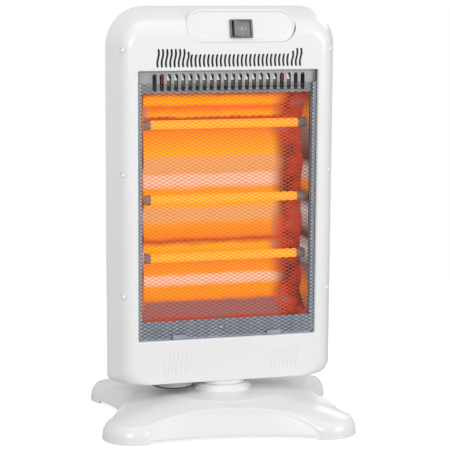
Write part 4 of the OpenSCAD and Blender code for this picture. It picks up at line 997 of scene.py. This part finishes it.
FIRST_LOOSE, SETTLE_TURNS = 12, 45
base_rings = [skirt_ring(*s) for s in (
    (0, 0, 0, 0.5), (0.02, 0, 0, 0.15), (0.06, 0), (0.3, 0), (0.6, 0), (0.85, 0))]
base_rings += [skirt_ring(1, a) for a in (0, 9, 18, 27, 36, 45, 54, 63, 72, 81)]
base_rings += [top_ring(k) for k in (0, 0.05, 0.1, 0.16, 0.23, 0.31, 0.4, 0.5, 0.6, 0.7, 0.8, 0.9, 0.965, 1)]
base_rings = settle(base_rings, FIRST_LOOSE, len(base_rings) - 1, SETTLE_TURNS)
base_rings += [round_ring(r, z) for r, z in (
    (79.1, 44.08), (78.2, 44.2), (76.6, 44.34), (73, 44.6), (66, 45), (58, 45.4), (48, 45.9), (18, 46),
    (18, 43.2), (48, 43.2))]
base_rings += [top_ring(k, BASE_WALL) for k in (1, 0.45, 0)]
base_rings += [skirt_ring(1, 45, BASE_WALL), skirt_ring(1, 0, BASE_WALL), skirt_ring(0, 0, BASE_WALL)]
piece("base_case", *loft(base_rings, loop=True), white_low, "base", ["base_shell"], "white_base", at_base,
      sharp=38)

collar = [(17.2, 46.0), (40.6, 46.0), (40.5, 46.4), (39.8, 47.2), (38.6, 48.4), (37.5, 49.6), (36.5, 50.7),
          (35.6, 51.7), (34.9, 52.5), (34.3, 53.1), (33.5, 53.5), (17.2, 53.5)]
piece("turn_collar", *revolve(collar, 96, (0, 0), loop=True), white_low, "base", ["base_collar"],
      "white_base", sharp=50)
MOTOR_AT = (-67.02, -3)
disc = [(0.5, 53.4), (25.8, 53.4), (26.9, 53.7), (27.4, 54.3), (27.5, 55.2), (27.5, 59.4), (24, 59.4),
        (24, 56), (0.5, 56)]
# The motor cover in the grey copy: painted shade.
piece("motor_disc", *revolve(disc, 72, MOTOR_AT, loop=True), shaded_disc_grey, "head", ["motor_cover"],
      "white_gloss", sharp=50)
# Painted shadow: a dark ring under the motor disc stands for the shadow in the gap above the base.
shadow_ring = [(22, 52.2), (26.8, 52.2), (27.3, 52.5), (27.3, 53.2), (26.8, 53.4), (22, 53.4)]
piece("motor_shadow_ring", *revolve(shadow_ring, 72, MOTOR_AT, loop=True), dark_rubber, "head", (), "dark_rubber", sharp=50)

# ---------------------------------------------------------------- solids kept from the frame

for node_name, mat in {
    "base_cover": pale_inner, "foot_pads": pale_rubber, "base_screws": steel, "pivot_tube": steel,
    "flange_screws": steel, "thrust_washer": dark_plastic, "pivot_nut": steel, "anchor_arm": steel,
    "tip_switch": dark_plastic, "cable_gland": dark_rubber, "inner_cable": dark_rubber,
    "tip_plunger": dark_plastic, "grip_cup": white, "case_screws": steel, "guard_clips": blue_sheet,
    "apron_strip": blue_sheet, "apron_screw": steel, "tube_caps": ceramic, "tube_clips": steel,
    "heat_shield": steel, "shield_spacers": steel, "thermal_cutout": steel, "red_leads": red_wire,
    "terminal_block": cream, "neck_bush": white_low, "neck_plate": steel, "neck_screws": steel,
    "drive_motor": steel, "crank_disc": cream, "drive_link": steel,
}.items():
    node = frame["nodes"][node_name]
    if not node.data.materials:
        node.data.materials.append(mat)
    for material_slot in node.material_slots:
        material_slot.material = mat

# ---------------------------------------------------------------- studio

floor_mesh = bpy.data.meshes.new("studio_floor")
FLOOR = 0.9
floor_mesh.from_pydata([(-FLOOR, -FLOOR, 0), (FLOOR, -FLOOR, 0), (FLOOR, FLOOR, 0), (-FLOOR, FLOOR, 0)], [],
                       [(0, 1, 2, 3)])
floor_mesh.materials.append(floor_pale)
floor = bpy.data.objects.new("studio_floor", floor_mesh)
bpy.context.scene.collection.objects.link(floor)


def seen_or_lighting(tree, seen, lighting):
    """One strength where the camera looks, another for the light the set gives back."""
    path = tree.nodes.new("ShaderNodeLightPath")
    level = tree.nodes.new("ShaderNodeMapRange")
    level.inputs["To Min"].default_value = lighting
    level.inputs["To Max"].default_value = seen
    tree.links.new(path.outputs["Is Camera Ray"], level.inputs["Value"])
    return level.outputs["Result"]


world = bpy.data.worlds.new("studio")
bpy.context.scene.world = world
world.use_nodes = True
air = world.node_tree
air.links.new(seen_or_lighting(air, 1.0, 0.6), air.nodes["Background"].inputs["Strength"])
air.nodes["Background"].inputs["Color"].default_value = (1, 1, 1, 1)
ground = floor_pale.node_tree
ground.links.new(seen_or_lighting(ground, 0.8, 0.14),
                 ground.nodes["Principled BSDF"].inputs["Emission Strength"])


def soft_light(name, place, target, size, power):
    lamp = bpy.data.lights.new(name, "AREA")
    lamp.shape = "RECTANGLE"
    lamp.size, lamp.size_y = size
    lamp.energy = power
    obj = bpy.data.objects.new(name, lamp)
    obj.location = place
    obj.rotation_euler = (Vector(target) - Vector(place)).to_track_quat("-Z", "Y").to_euler()
    bpy.context.scene.collection.objects.link(obj)


soft_light("key", (1.9, -2.3, 1.0), (0, 0, 0.3), (1.5, 1.3), 27)
soft_light("fill", (-1.4, -2.3, 1.1), (0, 0, 0.3), (0.8, 0.8), 20)
soft_light("top", (-0.3, -0.5, 2.4), (0, 0, 0), (1.4, 1.4), 9)
soft_light("back", (1.5, 2.4, 1.5), (0, 0, 0.1), (1.6, 1.0), 10)

camera = bpy.data.objects.new("camera", bpy.data.cameras.new("camera"))
bpy.context.scene.collection.objects.link(camera)
bpy.context.scene.camera = camera
camera.data.sensor_width = 36
camera.data.lens = 139.1
camera.data.shift_x = 0.049
camera.data.shift_y = 0.089
camera.location = (-0.6453, -2.1641, 0.5862)
pitch = math.radians(9.63)
look = Vector((0.2766 * math.cos(pitch), 0.961 * math.cos(pitch), -math.sin(pitch)))
turn = look.to_track_quat("-Z", "Y").to_matrix().to_4x4()
camera.rotation_euler = (turn @ Matrix.Rotation(math.radians(0.22), 4, "Z")).to_euler()
bpy.context.scene.view_settings.view_transform = "Standard"
